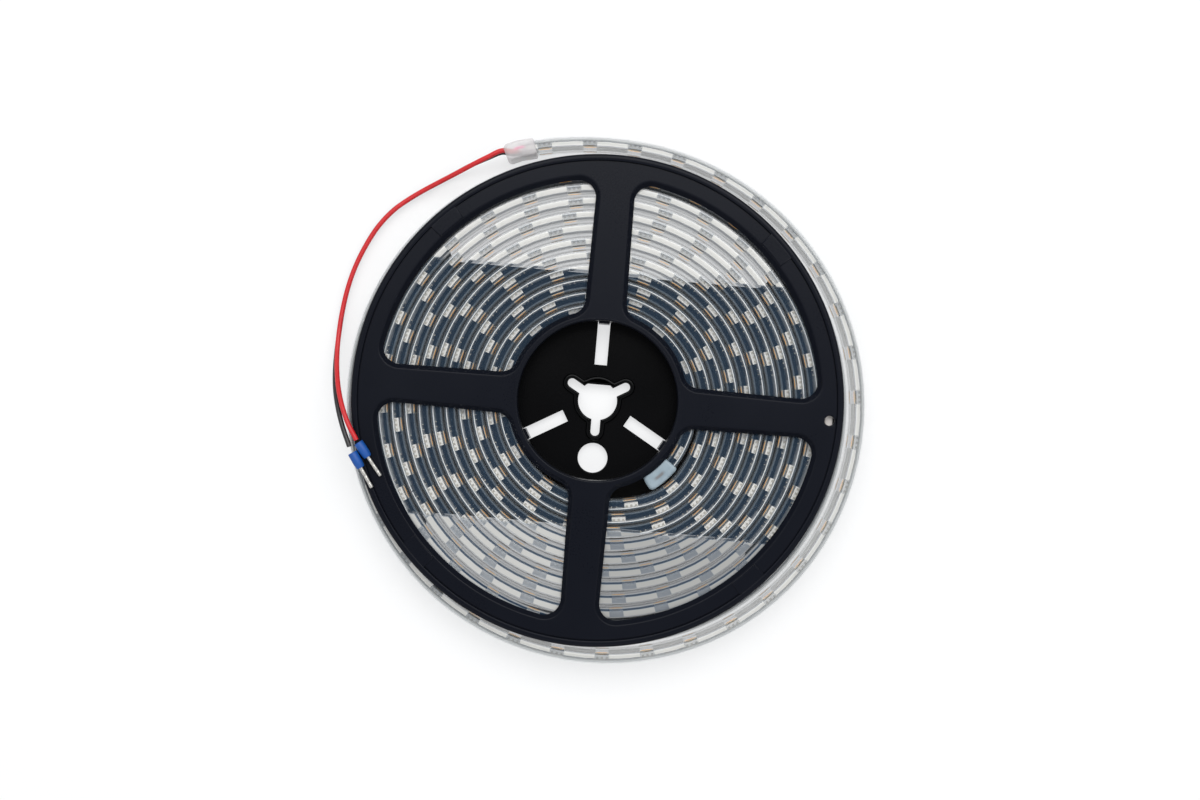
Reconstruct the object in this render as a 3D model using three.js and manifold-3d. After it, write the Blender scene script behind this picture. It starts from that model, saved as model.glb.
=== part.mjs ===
// A moulded reel, lying on its rear flange, with 5 m of LED strip light in a clear sleeve wound on it.
// Millimetres and degrees, +Z up along the reel's axis. Angles run anticlockwise seen from above,
// from the +X spoke of the front flange.
import * as THREE from "three";
import { mergeVertices } from "three/addons/utils/BufferGeometryUtils.js";
import Module from "manifold-3d";

const wasm = await Module();
wasm.setup();

// Reel
const flangeRadius = 89;
const flangeThickness = 2;
const beadWidth = 2.3;
const beadChamfer = 0.7;
const faceRecess = 0.3;
const padWidth = 11.5;
const padAngles = [45, 135, 225, 315];
const edgeChamfer = 0.9;
const rimHoleRadius = 1.8;
const rimHoleFromEdge = 5;

// Front windows, between four spokes that widen towards the hub
const spokeAngles = [0, 90, 180, 270];
const frontRimWidth = 9.1;
const hubRingWidth = 2.4;
const spokeWidthAtAxis = 15.8;
const spokeTaper = 0.72;
const windowCornerRadius = 6;

// Rear windows, two segments cut off by a straight edge
const rearRimWidth = 9;
const rearWindowFromCentre = 46.6;
const rearWindowCornerRadius = 5;

// Hub
const barrelRadius = 30.1;
const barrelWall = 1.1;
const barrelJoint = 9.1;
const spindleRadius = 7.2;
const keyWidth = 3.3;
const keyReach = 13.1;
const keyAngles = [30, 150, 270];
const collarWidth = 1.8;
const collarHeight = 1.5;
const hookAngles = [90, 210, 330];
const slotWidth = 4.6;
const slotStart = 13.2;
const pinHoleRadius = 5.5;
const pinHoleFromCentre = 21.3;
const hookThickness = 0.8;
const hookBarb = 0.8;
const hookBarbHeight = 1.8;
const catchFloor = 3.4;

// Strip light: a flat sleeve, wound from the hub outwards, with the circuit standing on edge inside it
const circuitWidth = 10;
const circuitThickness = 0.3;
const ledPitch = 1000 / 60;
const ledsPerSection = 30;
const sectionCount = 10;
const ledSize = 5;
const ledHeight = 1.6;
const ledRoom = 1.33;
const sleeveSideWall = 0.55;
const sleeveEdgeWall = 0.7;
const turnGap = 0.305;
const windingEnd = 112.4;
const circuitBegins = 5;
const sleevePastCircuit = 2.2;
const facetsPerTurn = 24;

// How the winding departs from an even spiral
const windingSlack = 0.25;
const sideBulge = 1.9;
const sideBulgeTwice = 0.7;
const sideBulgeAngle = 325;
const startRoom = 1.436;
const firstTurnEase = 0.629;
const passingRoom = 0.2;
const passingTurns = 13;
const liftSpread = 22;
const looseGap = 1.8;
const looseDegrees = 480;
const tailLift = 2.3;
const tailDegrees = 28;

// End caps, solder and the two wires with their ferrules
const capWall = 0.8;
const capSideWall = 0.6;
const capGrip = 6;
const capChamber = 2;
const capEndWall = 3;
const wireDiameter = 1.8;
const wireSpacing = 6.4;
const collarRadius = 1.75;
const ferruleCollarLength = 6.2;
const ferrulePinRadius = 0.7;
const ferrulePinLength = 8.3;

// Clearances
const seatGap = 0.3;
const touchGap = 0.1;
const runningGap = 0.25;

// The wires' routes from the cap on, chosen by hand
const redRoute = [
  [-42.7, 87.5, 12.1], [-47.4, 84.9, 11.8], [-53.0, 81.7, 10.4], [-58.8, 78.4, 7.9], [-64.6, 75.2, 5.3],
  [-70.2, 71.9, 3.6], [-75.6, 68.2, 2.9], [-81.0, 63.6, 2.85], [-86.2, 57.1, 2.85], [-90.2, 49.6, 2.85],
  [-93.4, 41.5, 2.85], [-95.5, 33.3, 2.85], [-96.8, 24.2, 2.95], [-97.2, 16.0, 3.8], [-96.8, 9.0, 6.2],
  [-95.7, 2.5, 9.9], [-93.9, -4.0, 14.1], [-91.4, -10.4, 17.6], [-88.4, -16.4, 19.6], [-85.0, -21.7, 19.9],
];
const blackRoute = [
  [-42.8, 87.8, 5.7], [-47.7, 85.5, 5.3], [-53.6, 82.6, 3.8], [-59.4, 79.2, 2], [-65.0, 75.7, 1.15],
  [-70.5, 72.2, 0.95], [-75.8, 68.4, 0.95], [-81.3, 63.8, 0.95], [-86.5, 57.3, 0.95], [-90.5, 49.8, 0.95],
  [-93.7, 41.6, 0.95], [-95.8, 33.4, 0.95], [-97.1, 24.3, 0.95], [-97.6, 16.0, 1.55], [-97.5, 9.0, 3.7],
  [-96.8, 2.5, 7.2], [-95.5, -4.0, 11.4], [-93.4, -10.6, 15.3], [-90.6, -17.5, 18.1], [-87.4, -24.2, 19.5],
];
const redFerrule = { from: [-84.3, -22.5, 19.8], towards: [-75.2, -34.1, 18.4] };
const blackFerrule = { from: [-86.1, -26.3, 19.8], towards: [-78.0, -38.4, 18.9] };

// Sizes that follow
const sleeveWidth = circuitWidth + 2 * (sleeveEdgeWall + seatGap);
const sleeveThickness = 2 * sleeveSideWall + circuitThickness + ledHeight + runningGap + ledRoom;
const capWidth = sleeveWidth + 2 * capSideWall;
const innerWidth = capWidth + 2 * seatGap;
const turnPitch = sleeveThickness + turnGap;
const startLift = capWall + passingRoom;
const passingLift = 2 * startLift;
const circuitLength = sectionCount * ledsPerSection * ledPitch;
const circuitOffset = sleeveThickness - sleeveSideWall - runningGap;
const frontUnderside = flangeThickness + innerWidth;
const frontTop = frontUnderside + flangeThickness;
const faceTop = frontTop - faceRecess;
const beadInnerRadius = flangeRadius - beadWidth;
const windowOuterRadius = flangeRadius - frontRimWidth;
const windowInnerRadius = barrelRadius + hubRingWidth;
const rearWindowRadius = flangeRadius - rearRimWidth;
const rimHoleFromCentre = flangeRadius - rimHoleFromEdge;
const barrelInnerRadius = barrelRadius - barrelWall;
const stripMiddle = flangeThickness + innerWidth / 2;
const facetDegrees = 360 / facetsPerTurn;

const degrees = Math.PI / 180;
const arcSteps = (turn, step) => Math.max(1, Math.ceil(Math.abs(turn) / step - 1e-9));

// A point from an angle, a radius and a height.
function polar(angle, radius, height) {
  return new THREE.Vector3(radius * Math.cos(angle * degrees), radius * Math.sin(angle * degrees), height);
}

// Collects faces of a closed body. Loops run anticlockwise seen from outside.
class Skin {
  constructor() {
    this.corners = [];
  }
  quad(a, b, c, d) {
    this.corners.push(a, b, c, a, c, d);
  }
  band(outer, inner) {
    outer.forEach((point, i) => {
      const next = (i + 1) % outer.length;
      this.quad(point, outer[next], inner[next], inner[i]);
    });
  }
  geometry() {
    return new THREE.BufferGeometry().setFromPoints(this.corners);
  }
}

function toSolid(geometry) {
  const bare = new THREE.BufferGeometry();
  bare.setAttribute("position", geometry.getAttribute("position").clone());
  if (geometry.index) bare.setIndex(geometry.index.clone());
  const merged = mergeVertices(bare, 1e-4);
  return new wasm.Manifold(
    new wasm.Mesh({
      numProp: 3,
      vertProperties: merged.attributes.position.array,
      triVerts: new Uint32Array(merged.index.array),
    }),
  );
}

function toGeometry(solid) {
  const { vertProperties, triVerts } = solid.getMesh();
  const geometry = new THREE.BufferGeometry();
  geometry.setAttribute("position", new THREE.BufferAttribute(vertProperties, 3));
  geometry.setIndex(new THREE.BufferAttribute(triVerts, 1));
  const flat = geometry.toNonIndexed();
  flat.computeVertexNormals();
  return flat;
}

const join = (solids) => solids.reduce((sum, solid) => sum.add(solid));
const cut = (solid, tools) => tools.reduce((left, tool) => left.subtract(tool), solid);

// A prism between two heights over a flat outline.
function prism(shape, floor, top, curveSegments = 12) {
  const geometry = new THREE.ExtrudeGeometry(shape, { depth: top - floor, bevelEnabled: false, curveSegments });
  return geometry.translate(0, 0, floor);
}

// A ring or disc turned from a closed profile of [radius, height] points, anticlockwise.
function turned(profile, segments) {
  const points = [...profile, profile[0]].map(([radius, height]) => new THREE.Vector2(radius, height));
  return new THREE.LatheGeometry(points, segments).rotateX(Math.PI / 2);
}

function rod(radius, length, segments) {
  return new THREE.CylinderGeometry(radius, radius, length, segments);
}

function block(sizeX, sizeY, floor, top) {
  return new THREE.BoxGeometry(sizeX, sizeY, top - floor).translate(0, 0, (floor + top) / 2);
}

// A sector of a flat ring, centred on an angle.
function sector(innerRadius, outerRadius, centreAngle, spread, floor, top) {
  const from = (centreAngle - spread / 2) * degrees;
  const to = (centreAngle + spread / 2) * degrees;
  const shape = new THREE.Shape();
  shape.absarc(0, 0, outerRadius, from, to, false);
  shape.absarc(0, 0, innerRadius, to, from, true);
  return prism(shape, floor, top, 4);
}

// Adds an arc to an outline, about a centre, between two points of that arc.
function arcBetween(shape, centre, from, to, clockwise, step) {
  const start = Math.atan2(from.y - centre.y, from.x - centre.x);
  let end = Math.atan2(to.y - centre.y, to.x - centre.x);
  if (clockwise && end > start) end -= 2 * Math.PI;
  if (!clockwise && end < start) end += 2 * Math.PI;
  const radius = from.distanceTo(centre);
  const count = arcSteps((end - start) / degrees, step);
  for (let i = 0; i <= count; i += 1) {
    const angle = start + ((end - start) * i) / count;
    shape.lineTo(centre.x + radius * Math.cos(angle), centre.y + radius * Math.sin(angle));
  }
}

// Where a fillet touches a straight edge and an arc about the origin. The edge has a unit normal that
// points into the opening and lies offset from the origin; the fillet lies outside or inside the arc.
function edgeFillet(normal, offset, along, arcRadius, fillet, outsideArc) {
  const reach = outsideArc ? arcRadius + fillet : arcRadius - fillet;
  const away = offset + fillet;
  const centre = normal.clone().multiplyScalar(away)
    .addScaledVector(along, Math.sqrt(reach * reach - away * away));
  return {
    centre,
    onEdge: centre.clone().addScaledVector(normal, -fillet),
    onArc: centre.clone().multiplyScalar(arcRadius / reach),
  };
}

// One front window, in the quarter between the +X and +Y spokes, anticlockwise.
function windowOutline() {
  const origin = new THREE.Vector2();
  const taper = spokeTaper * degrees;
  const lower = { normal: new THREE.Vector2(Math.sin(taper), Math.cos(taper)) };
  lower.along = new THREE.Vector2(lower.normal.y, -lower.normal.x);
  const upper = { normal: new THREE.Vector2(Math.cos(taper), Math.sin(taper)) };
  upper.along = new THREE.Vector2(-upper.normal.y, upper.normal.x);
  const offset = spokeWidthAtAxis / 2;
  const corner = (edge, radius, outsideArc) =>
    edgeFillet(edge.normal, offset, edge.along, radius, windowCornerRadius, outsideArc);
  const lowerOuter = corner(lower, windowOuterRadius, false);
  const upperOuter = corner(upper, windowOuterRadius, false);
  const upperInner = corner(upper, windowInnerRadius, true);
  const lowerInner = corner(lower, windowInnerRadius, true);
  const shape = new THREE.Path();
  shape.moveTo(lowerInner.onEdge.x, lowerInner.onEdge.y);
  arcBetween(shape, lowerOuter.centre, lowerOuter.onEdge, lowerOuter.onArc, false, 32);
  arcBetween(shape, origin, lowerOuter.onArc, upperOuter.onArc, false, 11);
  arcBetween(shape, upperOuter.centre, upperOuter.onArc, upperOuter.onEdge, false, 32);
  arcBetween(shape, upperInner.centre, upperInner.onEdge, upperInner.onArc, false, 32);
  arcBetween(shape, origin, upperInner.onArc, lowerInner.onArc, true, 14);
  arcBetween(shape, lowerInner.centre, lowerInner.onArc, lowerInner.onEdge, false, 32);
  return shape;
}

// The rear window above the middle band, anticlockwise.
function rearWindowOutline() {
  const origin = new THREE.Vector2();
  const normal = new THREE.Vector2(0, 1);
  const corner = (side) =>
    edgeFillet(normal, rearWindowFromCentre, new THREE.Vector2(side, 0), rearWindowRadius,
      rearWindowCornerRadius, false);
  const right = corner(1);
  const left = corner(-1);
  const shape = new THREE.Path();
  shape.moveTo(left.onEdge.x, left.onEdge.y);
  arcBetween(shape, right.centre, right.onEdge, right.onArc, false, 32);
  arcBetween(shape, origin, right.onArc, left.onArc, false, 8);
  arcBetween(shape, left.centre, left.onArc, left.onEdge, false, 32);
  return shape;
}

// The keyed spindle hole, grown by a margin: a circle with three round-ended arms, anticlockwise.
function spindleOutline(margin) {
  const shape = new THREE.Shape();
  const half = keyWidth / 2 + margin;
  const radius = spindleRadius + margin;
  const rootAngle = Math.asin(half / radius) / degrees;
  keyAngles.forEach((angle, i) => {
    const next = keyAngles[(i + 1) % keyAngles.length] + (i + 1 === keyAngles.length ? 360 : 0);
    const tip = keyReach - keyWidth / 2;
    for (const turn of [-90, -45, 0, 45, 90]) {
      const x = tip * Math.cos(angle * degrees) + half * Math.cos((angle + turn) * degrees);
      const y = tip * Math.sin(angle * degrees) + half * Math.sin((angle + turn) * degrees);
      if (i === 0 && turn === -90) shape.moveTo(x, y);
      else shape.lineTo(x, y);
    }
    const from = angle + rootAngle;
    const span = next - rootAngle - from;
    const count = arcSteps(span, 18);
    for (let k = 0; k <= count; k += 1) {
      const point = polar(from + (span * k) / count, radius, 0);
      shape.lineTo(point.x, point.y);
    }
  });
  return shape;
}

// The bead round a flange: its top is chamfered on both sides of the flange's edge.
function bead(floor, top, innerTop) {
  return turned(
    [
      [beadInnerRadius - 0.6, floor],
      [flangeRadius - beadChamfer, floor],
      [flangeRadius, floor + beadChamfer],
      [flangeRadius, top - beadChamfer],
      [flangeRadius - beadChamfer, top],
      [beadInnerRadius, top],
      [beadInnerRadius, innerTop],
      [beadInnerRadius - 0.6, innerTop],
    ],
    40,
  );
}

function barrelRing(floor, top) {
  return turned(
    [
      [barrelInnerRadius, floor],
      [barrelRadius, floor],
      [barrelRadius, top],
      [barrelInnerRadius, top],
    ],
    36,
  );
}

// A snap hook on the +X side: a tongue inside the barrel, with a barb that enters the rear barrel's catch.
function snapHook() {
  const outside = barrelInnerRadius - 0.2;
  const inside = outside - hookThickness;
  const width = slotWidth - 2 * seatGap;
  const foot = catchFloor + seatGap;
  const side = new THREE.Shape([
    new THREE.Vector2(inside, foot),
    new THREE.Vector2(outside, foot),
    new THREE.Vector2(outside + hookBarb, foot + hookBarbHeight / 2),
    new THREE.Vector2(outside + hookBarb, foot + hookBarbHeight),
    new THREE.Vector2(outside, foot + hookBarbHeight),
    new THREE.Vector2(outside, barrelJoint + seatGap),
    new THREE.Vector2(barrelInnerRadius + barrelWall / 2, barrelJoint + seatGap),
    new THREE.Vector2(barrelInnerRadius + barrelWall / 2, frontUnderside - 2),
    new THREE.Vector2(inside, frontUnderside - 2),
  ]);
  return new THREE.ExtrudeGeometry(side, { depth: width, bevelEnabled: false })
    .translate(0, 0, -width / 2)
    .rotateX(Math.PI / 2);
}

// Front half: the spoked flange, its half of the barrel and three snap hooks.
function frontHalf() {
  const face = new THREE.Shape();
  face.absarc(0, 0, beadInnerRadius - 0.3, 0, 2 * Math.PI, false);
  const hubHole = new THREE.Path().absarc(0, 0, barrelInnerRadius, 0, 2 * Math.PI, true);
  face.holes.push(hubHole);
  const plate = toSolid(new THREE.ExtrudeGeometry(face, {
    depth: faceTop - frontUnderside, bevelEnabled: false, curveSegments: 20,
  }).translate(0, 0, frontUnderside));
  const opening = new THREE.Shape(windowOutline().getPoints(1));
  const through = prism(opening, frontUnderside - 1, frontTop + 1);
  const flare = new THREE.ExtrudeGeometry(opening, {
    depth: 1, bevelThickness: edgeChamfer, bevelSize: edgeChamfer, bevelSegments: 1,
  }).translate(0, 0, faceTop);
  const cutters = spokeAngles.flatMap((angle) => [
    toSolid(through.clone().rotateZ(angle * degrees)),
    toSolid(flare.clone().rotateZ(angle * degrees)),
  ]);
  const padSpread = padWidth / beadInnerRadius / degrees;
  const pads = padAngles.map((angle) =>
    toSolid(sector(windowOuterRadius + edgeChamfer, beadInnerRadius + 0.2, angle, padSpread, faceTop - 0.5,
      frontTop)));
  const hooks = hookAngles.map((angle) => toSolid(snapHook().rotateZ(angle * degrees)));
  const rimHole = toSolid(rod(rimHoleRadius, 3 * flangeThickness, 10).rotateX(Math.PI / 2)
    .translate(rimHoleFromCentre, 0, frontTop));
  const rim = toSolid(bead(frontUnderside, frontTop, faceTop));
  const barrel = toSolid(barrelRing(barrelJoint + seatGap / 2, faceTop - 0.5));
  return toGeometry(cut(join([cut(plate, cutters), rim, ...pads, barrel, ...hooks]), [rimHole]));
}

// Rear half: the flange with two windows, the keyed hub disc and the lower half of the barrel.
function rearHalf() {
  const face = new THREE.Shape();
  face.absarc(0, 0, beadInnerRadius - 0.3, 0, 2 * Math.PI, false);
  const upperWindow = rearWindowOutline().getPoints(1);
  const turnRound = (points) => points.map((point) => new THREE.Vector2(-point.x, -point.y));
  face.holes.push(new THREE.Path(upperWindow), new THREE.Path(turnRound(upperWindow)));
  const plate = toSolid(prism(face, 0, flangeThickness, 20));
  const rim = toSolid(bead(0, flangeThickness, flangeThickness));
  const barrel = toSolid(barrelRing(flangeThickness - 0.5, barrelJoint - seatGap / 2));
  const collar = toSolid(prism(spindleOutline(collarWidth), flangeThickness - 0.5, flangeThickness + collarHeight));
  const spindleHole = toSolid(prism(spindleOutline(0), -1, flangeThickness + collarHeight + 1));
  const slotLength = barrelInnerRadius - slotStart;
  const slots = hookAngles.map((angle) =>
    toSolid(block(slotLength, slotWidth, -1, flangeThickness + 1).translate(slotStart + slotLength / 2, 0, 0)
      .rotateZ(angle * degrees)));
  const catchTop = catchFloor + hookBarbHeight + 2 * seatGap;
  const catches = hookAngles.map((angle) =>
    toSolid(block(4 * barrelWall, slotWidth, catchFloor, catchTop).translate(barrelRadius, 0, 0)
      .rotateZ(angle * degrees)));
  const pinHole = toSolid(rod(pinHoleRadius, 4 * flangeThickness, 14).rotateX(Math.PI / 2)
    .translate(0, -pinHoleFromCentre, 0));
  return toGeometry(cut(join([plate, rim, barrel, collar]), [spindleHole, ...slots, ...catches, pinHole]));
}

// Degrees wound in all, and the angle where the winding starts. Both follow from the circuit's length.
let woundDegrees = circuitLength / ((barrelRadius + flangeRadius) / 2) / degrees;
let windingStart = windingEnd - woundDegrees;

function bulgeAt(angle) {
  const turn = (angle - sideBulgeAngle) * degrees;
  return sideBulge * Math.cos(turn) + sideBulgeTwice * Math.cos(2 * turn);
}

// Radius of the sleeve's inner surface after so many degrees of winding: an even spiral that starts just
// off the barrel, with a bulge on one side, a bump where each turn passes over the inner cap, a looser
// last turn and a lifted tail.
function windingRadius(wound) {
  const ramp = (from, span) => Math.min(1, Math.max(0, (wound - from) / span));
  const tight = 1 - windingSlack * (1 - ramp(0, 360));
  const bulge = tight * (bulgeAt(windingStart + wound) - bulgeAt(windingStart)) + firstTurnEase * ramp(0, 360);
  const fromCap = ((wound + 181) % 360) - 180;
  const height = wound < 180 ? startLift : passingLift * (1 - (wound / 360 - 1) / passingTurns);
  const bump = height * Math.exp(-((fromCap / liftSpread) ** 2));
  const loose = looseGap * ramp(woundDegrees - looseDegrees, looseDegrees / 2) ** 2;
  const lift = tailLift * ramp(woundDegrees - tailDegrees, tailDegrees) ** 2;
  return barrelRadius + seatGap + startRoom + (turnPitch * wound) / 360 + bulge + bump + loose + lift;
}

// The same with the sleeve's flat facets.
function facetRadius(wound) {
  const before = Math.floor(wound / facetDegrees) * facetDegrees;
  const after = Math.min(before + facetDegrees, woundDegrees);
  if (after - before < 1e-6) return windingRadius(wound);
  const near = windingRadius(before);
  const far = windingRadius(after);
  return (near * far * Math.sin((after - before) * degrees)) /
    (near * Math.sin((wound - before) * degrees) + far * Math.sin((after - wound) * degrees));
}

const circuitRadius = (wound) => facetRadius(wound) + circuitOffset;

// Wound degrees at a list of distances along the circuit, from where the circuit begins.
function woundAt(distances) {
  const found = [];
  let travelled = 0;
  let wound = circuitBegins;
  const step = 0.25;
  for (const distance of distances) {
    while (travelled < distance) {
      const piece = circuitRadius(wound) * step * degrees;
      const share = Math.min(1, (distance - travelled) / piece);
      travelled += piece * share;
      wound += step * share;
    }
    found.push(wound);
  }
  return found;
}

// Where the winding starts changes its bulge, so its length is found by halves, in several passes.
for (let pass = 0; pass < 24; pass += 1) {
  const [reached] = woundAt([circuitLength]);
  const needed = reached + sleevePastCircuit / windingRadius(reached) / degrees;
  woundDegrees += (needed - woundDegrees) / 2;
  windingStart = windingEnd - woundDegrees;
}

const tightPitch = 22;
const boundaries = woundAt(Array.from({ length: sectionCount * ledsPerSection + 1 }, (_, i) => i * ledPitch));

// The four corners of an upright section, anticlockwise seen from behind the winding's direction.
function section(wound, radius, innerOffset, outerOffset, floor, top) {
  const angle = windingStart + wound;
  return [
    polar(angle, radius + innerOffset, floor),
    polar(angle, radius + outerOffset, floor),
    polar(angle, radius + outerOffset, top),
    polar(angle, radius + innerOffset, top),
  ];
}

function windingStations(from, to) {
  const stations = [];
  for (let wound = from; wound < to - 0.5; wound += facetDegrees) stations.push(wound);
  return [...stations, to];
}

// The clear sleeve: a flat-sided tube, open at both ends.
function stripSleeve() {
  const skin = new Skin();
  const floor = stripMiddle - sleeveWidth / 2;
  const top = stripMiddle + sleeveWidth / 2;
  const stations = windingStations(0, woundDegrees);
  const outside = stations.map((wound) =>
    section(wound, windingRadius(wound), 0, sleeveThickness, floor, top));
  const inside = stations.map((wound) =>
    section(wound, windingRadius(wound), sleeveSideWall, sleeveThickness - sleeveSideWall,
      floor + sleeveEdgeWall, top - sleeveEdgeWall));
  const last = stations.length - 1;
  for (let i = 0; i < last; i += 1) {
    skin.band(outside[i + 1], outside[i]);
    skin.band(inside[i], inside[i + 1]);
  }
  skin.band(outside[0], inside[0]);
  skin.band(inside[last], outside[last]);
  return skin.geometry();
}


// The flat stretches of one section, one for each LED, or three where the turn is tight.
function circuitStretches(index) {
  const marks = boundaries.slice(index * ledsPerSection, (index + 1) * ledsPerSection + 1);
  const trim = seatGap / 2 / circuitRadius(marks[0]) / degrees;
  marks[0] += trim;
  marks[ledsPerSection] -= trim;
  return marks.slice(1).flatMap((far, i) => {
    const span = far - marks[i];
    const shares = span > tightPitch ? [0, 0.25, 0.75, 1] : [0, 1];
    return shares.slice(1).map((share, k) => ({
      from: marks[i] + span * shares[k],
      to: marks[i] + span * share,
      carriesLed: shares.length === 2 || k === 1,
    }));
  });
}

// One 0.5 m length of flexible circuit, with its LEDs standing on the side that faces the hub.
function circuitSection(index) {
  const skin = new Skin();
  const floor = stripMiddle - circuitWidth / 2;
  const top = stripMiddle + circuitWidth / 2;
  const ring = (wound) => section(wound, circuitRadius(wound), -circuitThickness, 0, floor, top);
  const stretches = circuitStretches(index);
  for (const { from, to, carriesLed } of stretches) {
    const [near, far] = [ring(from), ring(to)];
    for (const side of [0, 1, 2]) skin.quad(near[side], far[side], far[side + 1], near[side + 1]);
    const inner = [near[0], near[3], far[3], far[0]];
    if (carriesLed) {
      skin.band(inner, ledBase(inner));
      addLed(skin, ledBase(inner));
    } else {
      skin.quad(...inner);
    }
  }
  skin.quad(...ring(stretches[0].from));
  skin.quad(...ring(stretches[stretches.length - 1].to).reverse());
  return skin.geometry();
}

// The footprint of an LED in the middle of one flat stretch of circuit.
function ledBase([nearFloor, nearTop, farTop]) {
  const along = farTop.clone().sub(nearTop).normalize().multiplyScalar(ledSize / 2);
  const up = new THREE.Vector3(0, 0, ledSize / 2);
  const middle = nearFloor.clone().add(farTop).multiplyScalar(0.5);
  const corner = (forward, rise) => middle.clone().addScaledVector(along, forward).addScaledVector(up, rise);
  return [corner(-1, -1), corner(-1, 1), corner(1, 1), corner(1, -1)];
}

function addLed(skin, base) {
  const normal = base[1].clone().sub(base[0]).cross(base[2].clone().sub(base[1])).normalize();
  const face = base.map((point) => point.clone().addScaledVector(normal, ledHeight));
  skin.band(base, face);
  skin.quad(...face);
}

// A block that follows the winding at an end of the sleeve, such as a cap's outside or its hollow.
function windingBlock(stations, innerOffset, outerOffset, width) {
  const skin = new Skin();
  const rings = [...stations].sort((a, b) => a - b).map((wound) => {
    const held = Math.min(Math.max(wound, 0), woundDegrees);
    return section(wound, facetRadius(held), innerOffset, outerOffset, stripMiddle - width / 2,
      stripMiddle + width / 2);
  });
  const last = rings.length - 1;
  for (let i = 0; i < last; i += 1) skin.band(rings[i + 1], rings[i]);
  skin.quad(...rings[0]);
  skin.quad(...[...rings[last]].reverse());
  return toSolid(skin.geometry());
}

// A cap over the sleeve's end: a cup that grips the sleeve, with a chamber and a thick end wall.
// Direction is 1 where the cap closes the winding's outer end, and -1 at its start.
function endCap(direction, wireHoles) {
  const end = direction > 0 ? woundDegrees : 0;
  const reach = (length) => end + (direction * length) / (windingRadius(end) * degrees);
  const outside = windingBlock([reach(-capGrip), end, reach(capChamber + capEndWall)], -capWall,
    sleeveThickness + capWall, capWidth);
  const hollow = windingBlock([reach(-capGrip - 1), end, reach(capChamber)], -touchGap,
    sleeveThickness + touchGap, sleeveWidth + 2 * touchGap);
  return toGeometry(cut(outside, [hollow, ...wireHoles]));
}

const solderFromEnd = 1.5;
const solderLength = 2.2;
const circuitEnd = boundaries[boundaries.length - 1];

// A wire's whole route: from the circuit's end through the cap's chamber, out of the cap, then as chosen.
function wholeRoute(route, height) {
  const perDegree = facetRadius(woundDegrees) * degrees;
  const inside = [circuitEnd + seatGap / perDegree, woundDegrees + capChamber / perDegree].map((wound) =>
    polar(windingStart + wound, facetRadius(woundDegrees) + sleeveThickness / 2, height));
  return [...inside, ...route.map((point) => new THREE.Vector3(...point))];
}

// A hole through the outer cap's end wall, along the wire.
function wireHole(points) {
  const [from, to] = points.slice(1, 3);
  const along = to.clone().sub(from).normalize();
  const middle = from.clone().lerp(to, 0.5);
  const turn = new THREE.Quaternion().setFromUnitVectors(new THREE.Vector3(0, 1, 0), along);
  const hole = rod(wireDiameter / 2 + runningGap, from.distanceTo(to) + 6, 10);
  return toSolid(hole.applyQuaternion(turn).translate(middle.x, middle.y, middle.z));
}

// A blob of solder that joins a wire's core to its pad, on the circuit's last flat stretch.
function solderJoint(height) {
  const thickness = 1.1;
  const face = (wound) => polar(windingStart + wound, circuitRadius(wound) - circuitThickness, height);
  const end = face(circuitEnd);
  const back = face(boundaries[boundaries.length - 2]).sub(end).normalize();
  const hubward = new THREE.Vector3(back.y, -back.x, 0);
  const middle = end.addScaledVector(back, solderFromEnd).addScaledVector(hubward, touchGap + thickness / 2);
  return new THREE.SphereGeometry(0.5, 8, 5).rotateX(Math.PI / 2).scale(thickness, solderLength, 1.8)
    .rotateZ(Math.atan2(hubward.y, hubward.x)).translate(middle.x, middle.y, middle.z);
}

// A wire: a round section carried along its route.
function wire(points) {
  const line = new THREE.CatmullRomCurve3(points, false, "centripetal");
  const round = new THREE.Shape(
    Array.from({ length: 8 }, (_, i) => {
      const angle = ((i + 0.5) / 8) * 2 * Math.PI;
      return new THREE.Vector2((wireDiameter / 2) * Math.cos(angle), (wireDiameter / 2) * Math.sin(angle));
    }),
  );
  return new THREE.ExtrudeGeometry(round, { steps: 30, bevelEnabled: false, extrudePath: line });
}

// Turns a lathed piece, made along +Z from the origin, to start at a ferrule's end and point along it.
function placeFerrule(geometry, ferrule) {
  const from = new THREE.Vector3(...ferrule.from);
  const along = new THREE.Vector3(...ferrule.towards).sub(from).normalize();
  const turn = new THREE.Quaternion().setFromUnitVectors(new THREE.Vector3(0, 0, 1), along);
  return geometry.applyQuaternion(turn).translate(from.x, from.y, from.z);
}

function ferruleCollar(ferrule) {
  const bore = wireDiameter / 2 + seatGap;
  return placeFerrule(turned(
    [
      [bore, 0],
      [collarRadius, 0],
      [collarRadius, ferruleCollarLength * 0.7],
      [collarRadius * 0.85, ferruleCollarLength],
      [ferrulePinRadius + seatGap, ferruleCollarLength],
      [bore, ferruleCollarLength * 0.8],
    ],
    10,
  ), ferrule);
}

function ferrulePin(ferrule) {
  const start = ferruleCollarLength * 0.5;
  const end = ferruleCollarLength + ferrulePinLength;
  return placeFerrule(turned(
    [
      [0, start],
      [wireDiameter / 2, start],
      [ferrulePinRadius, start + 1.6],
      [ferrulePinRadius, end - 0.3],
      [ferrulePinRadius - 0.3, end],
      [0, end],
    ],
    8,
  ), ferrule);
}

// Finishes
const finish = (color, roughness, metalness = 0, opacity = 1) =>
  new THREE.MeshStandardMaterial({ color, roughness, metalness, opacity, transparent: opacity < 1 });
const blackPlastic = finish(0x20232b, 0.5);
const clearSilicone = finish(0xdfe6ea, 0.15, 0, 0.35);
const milkySilicone = finish(0xc9d3de, 0.35, 0, 0.8);
const whiteCircuit = finish(0xf0f0ec, 0.5);
const tinned = finish(0xb9b6ae, 0.35, 1);
const redJacket = finish(0xd7282d, 0.4);
const blackJacket = finish(0x17171a, 0.45);
const blueCollar = finish(0x0a3ca0, 0.45);

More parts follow.
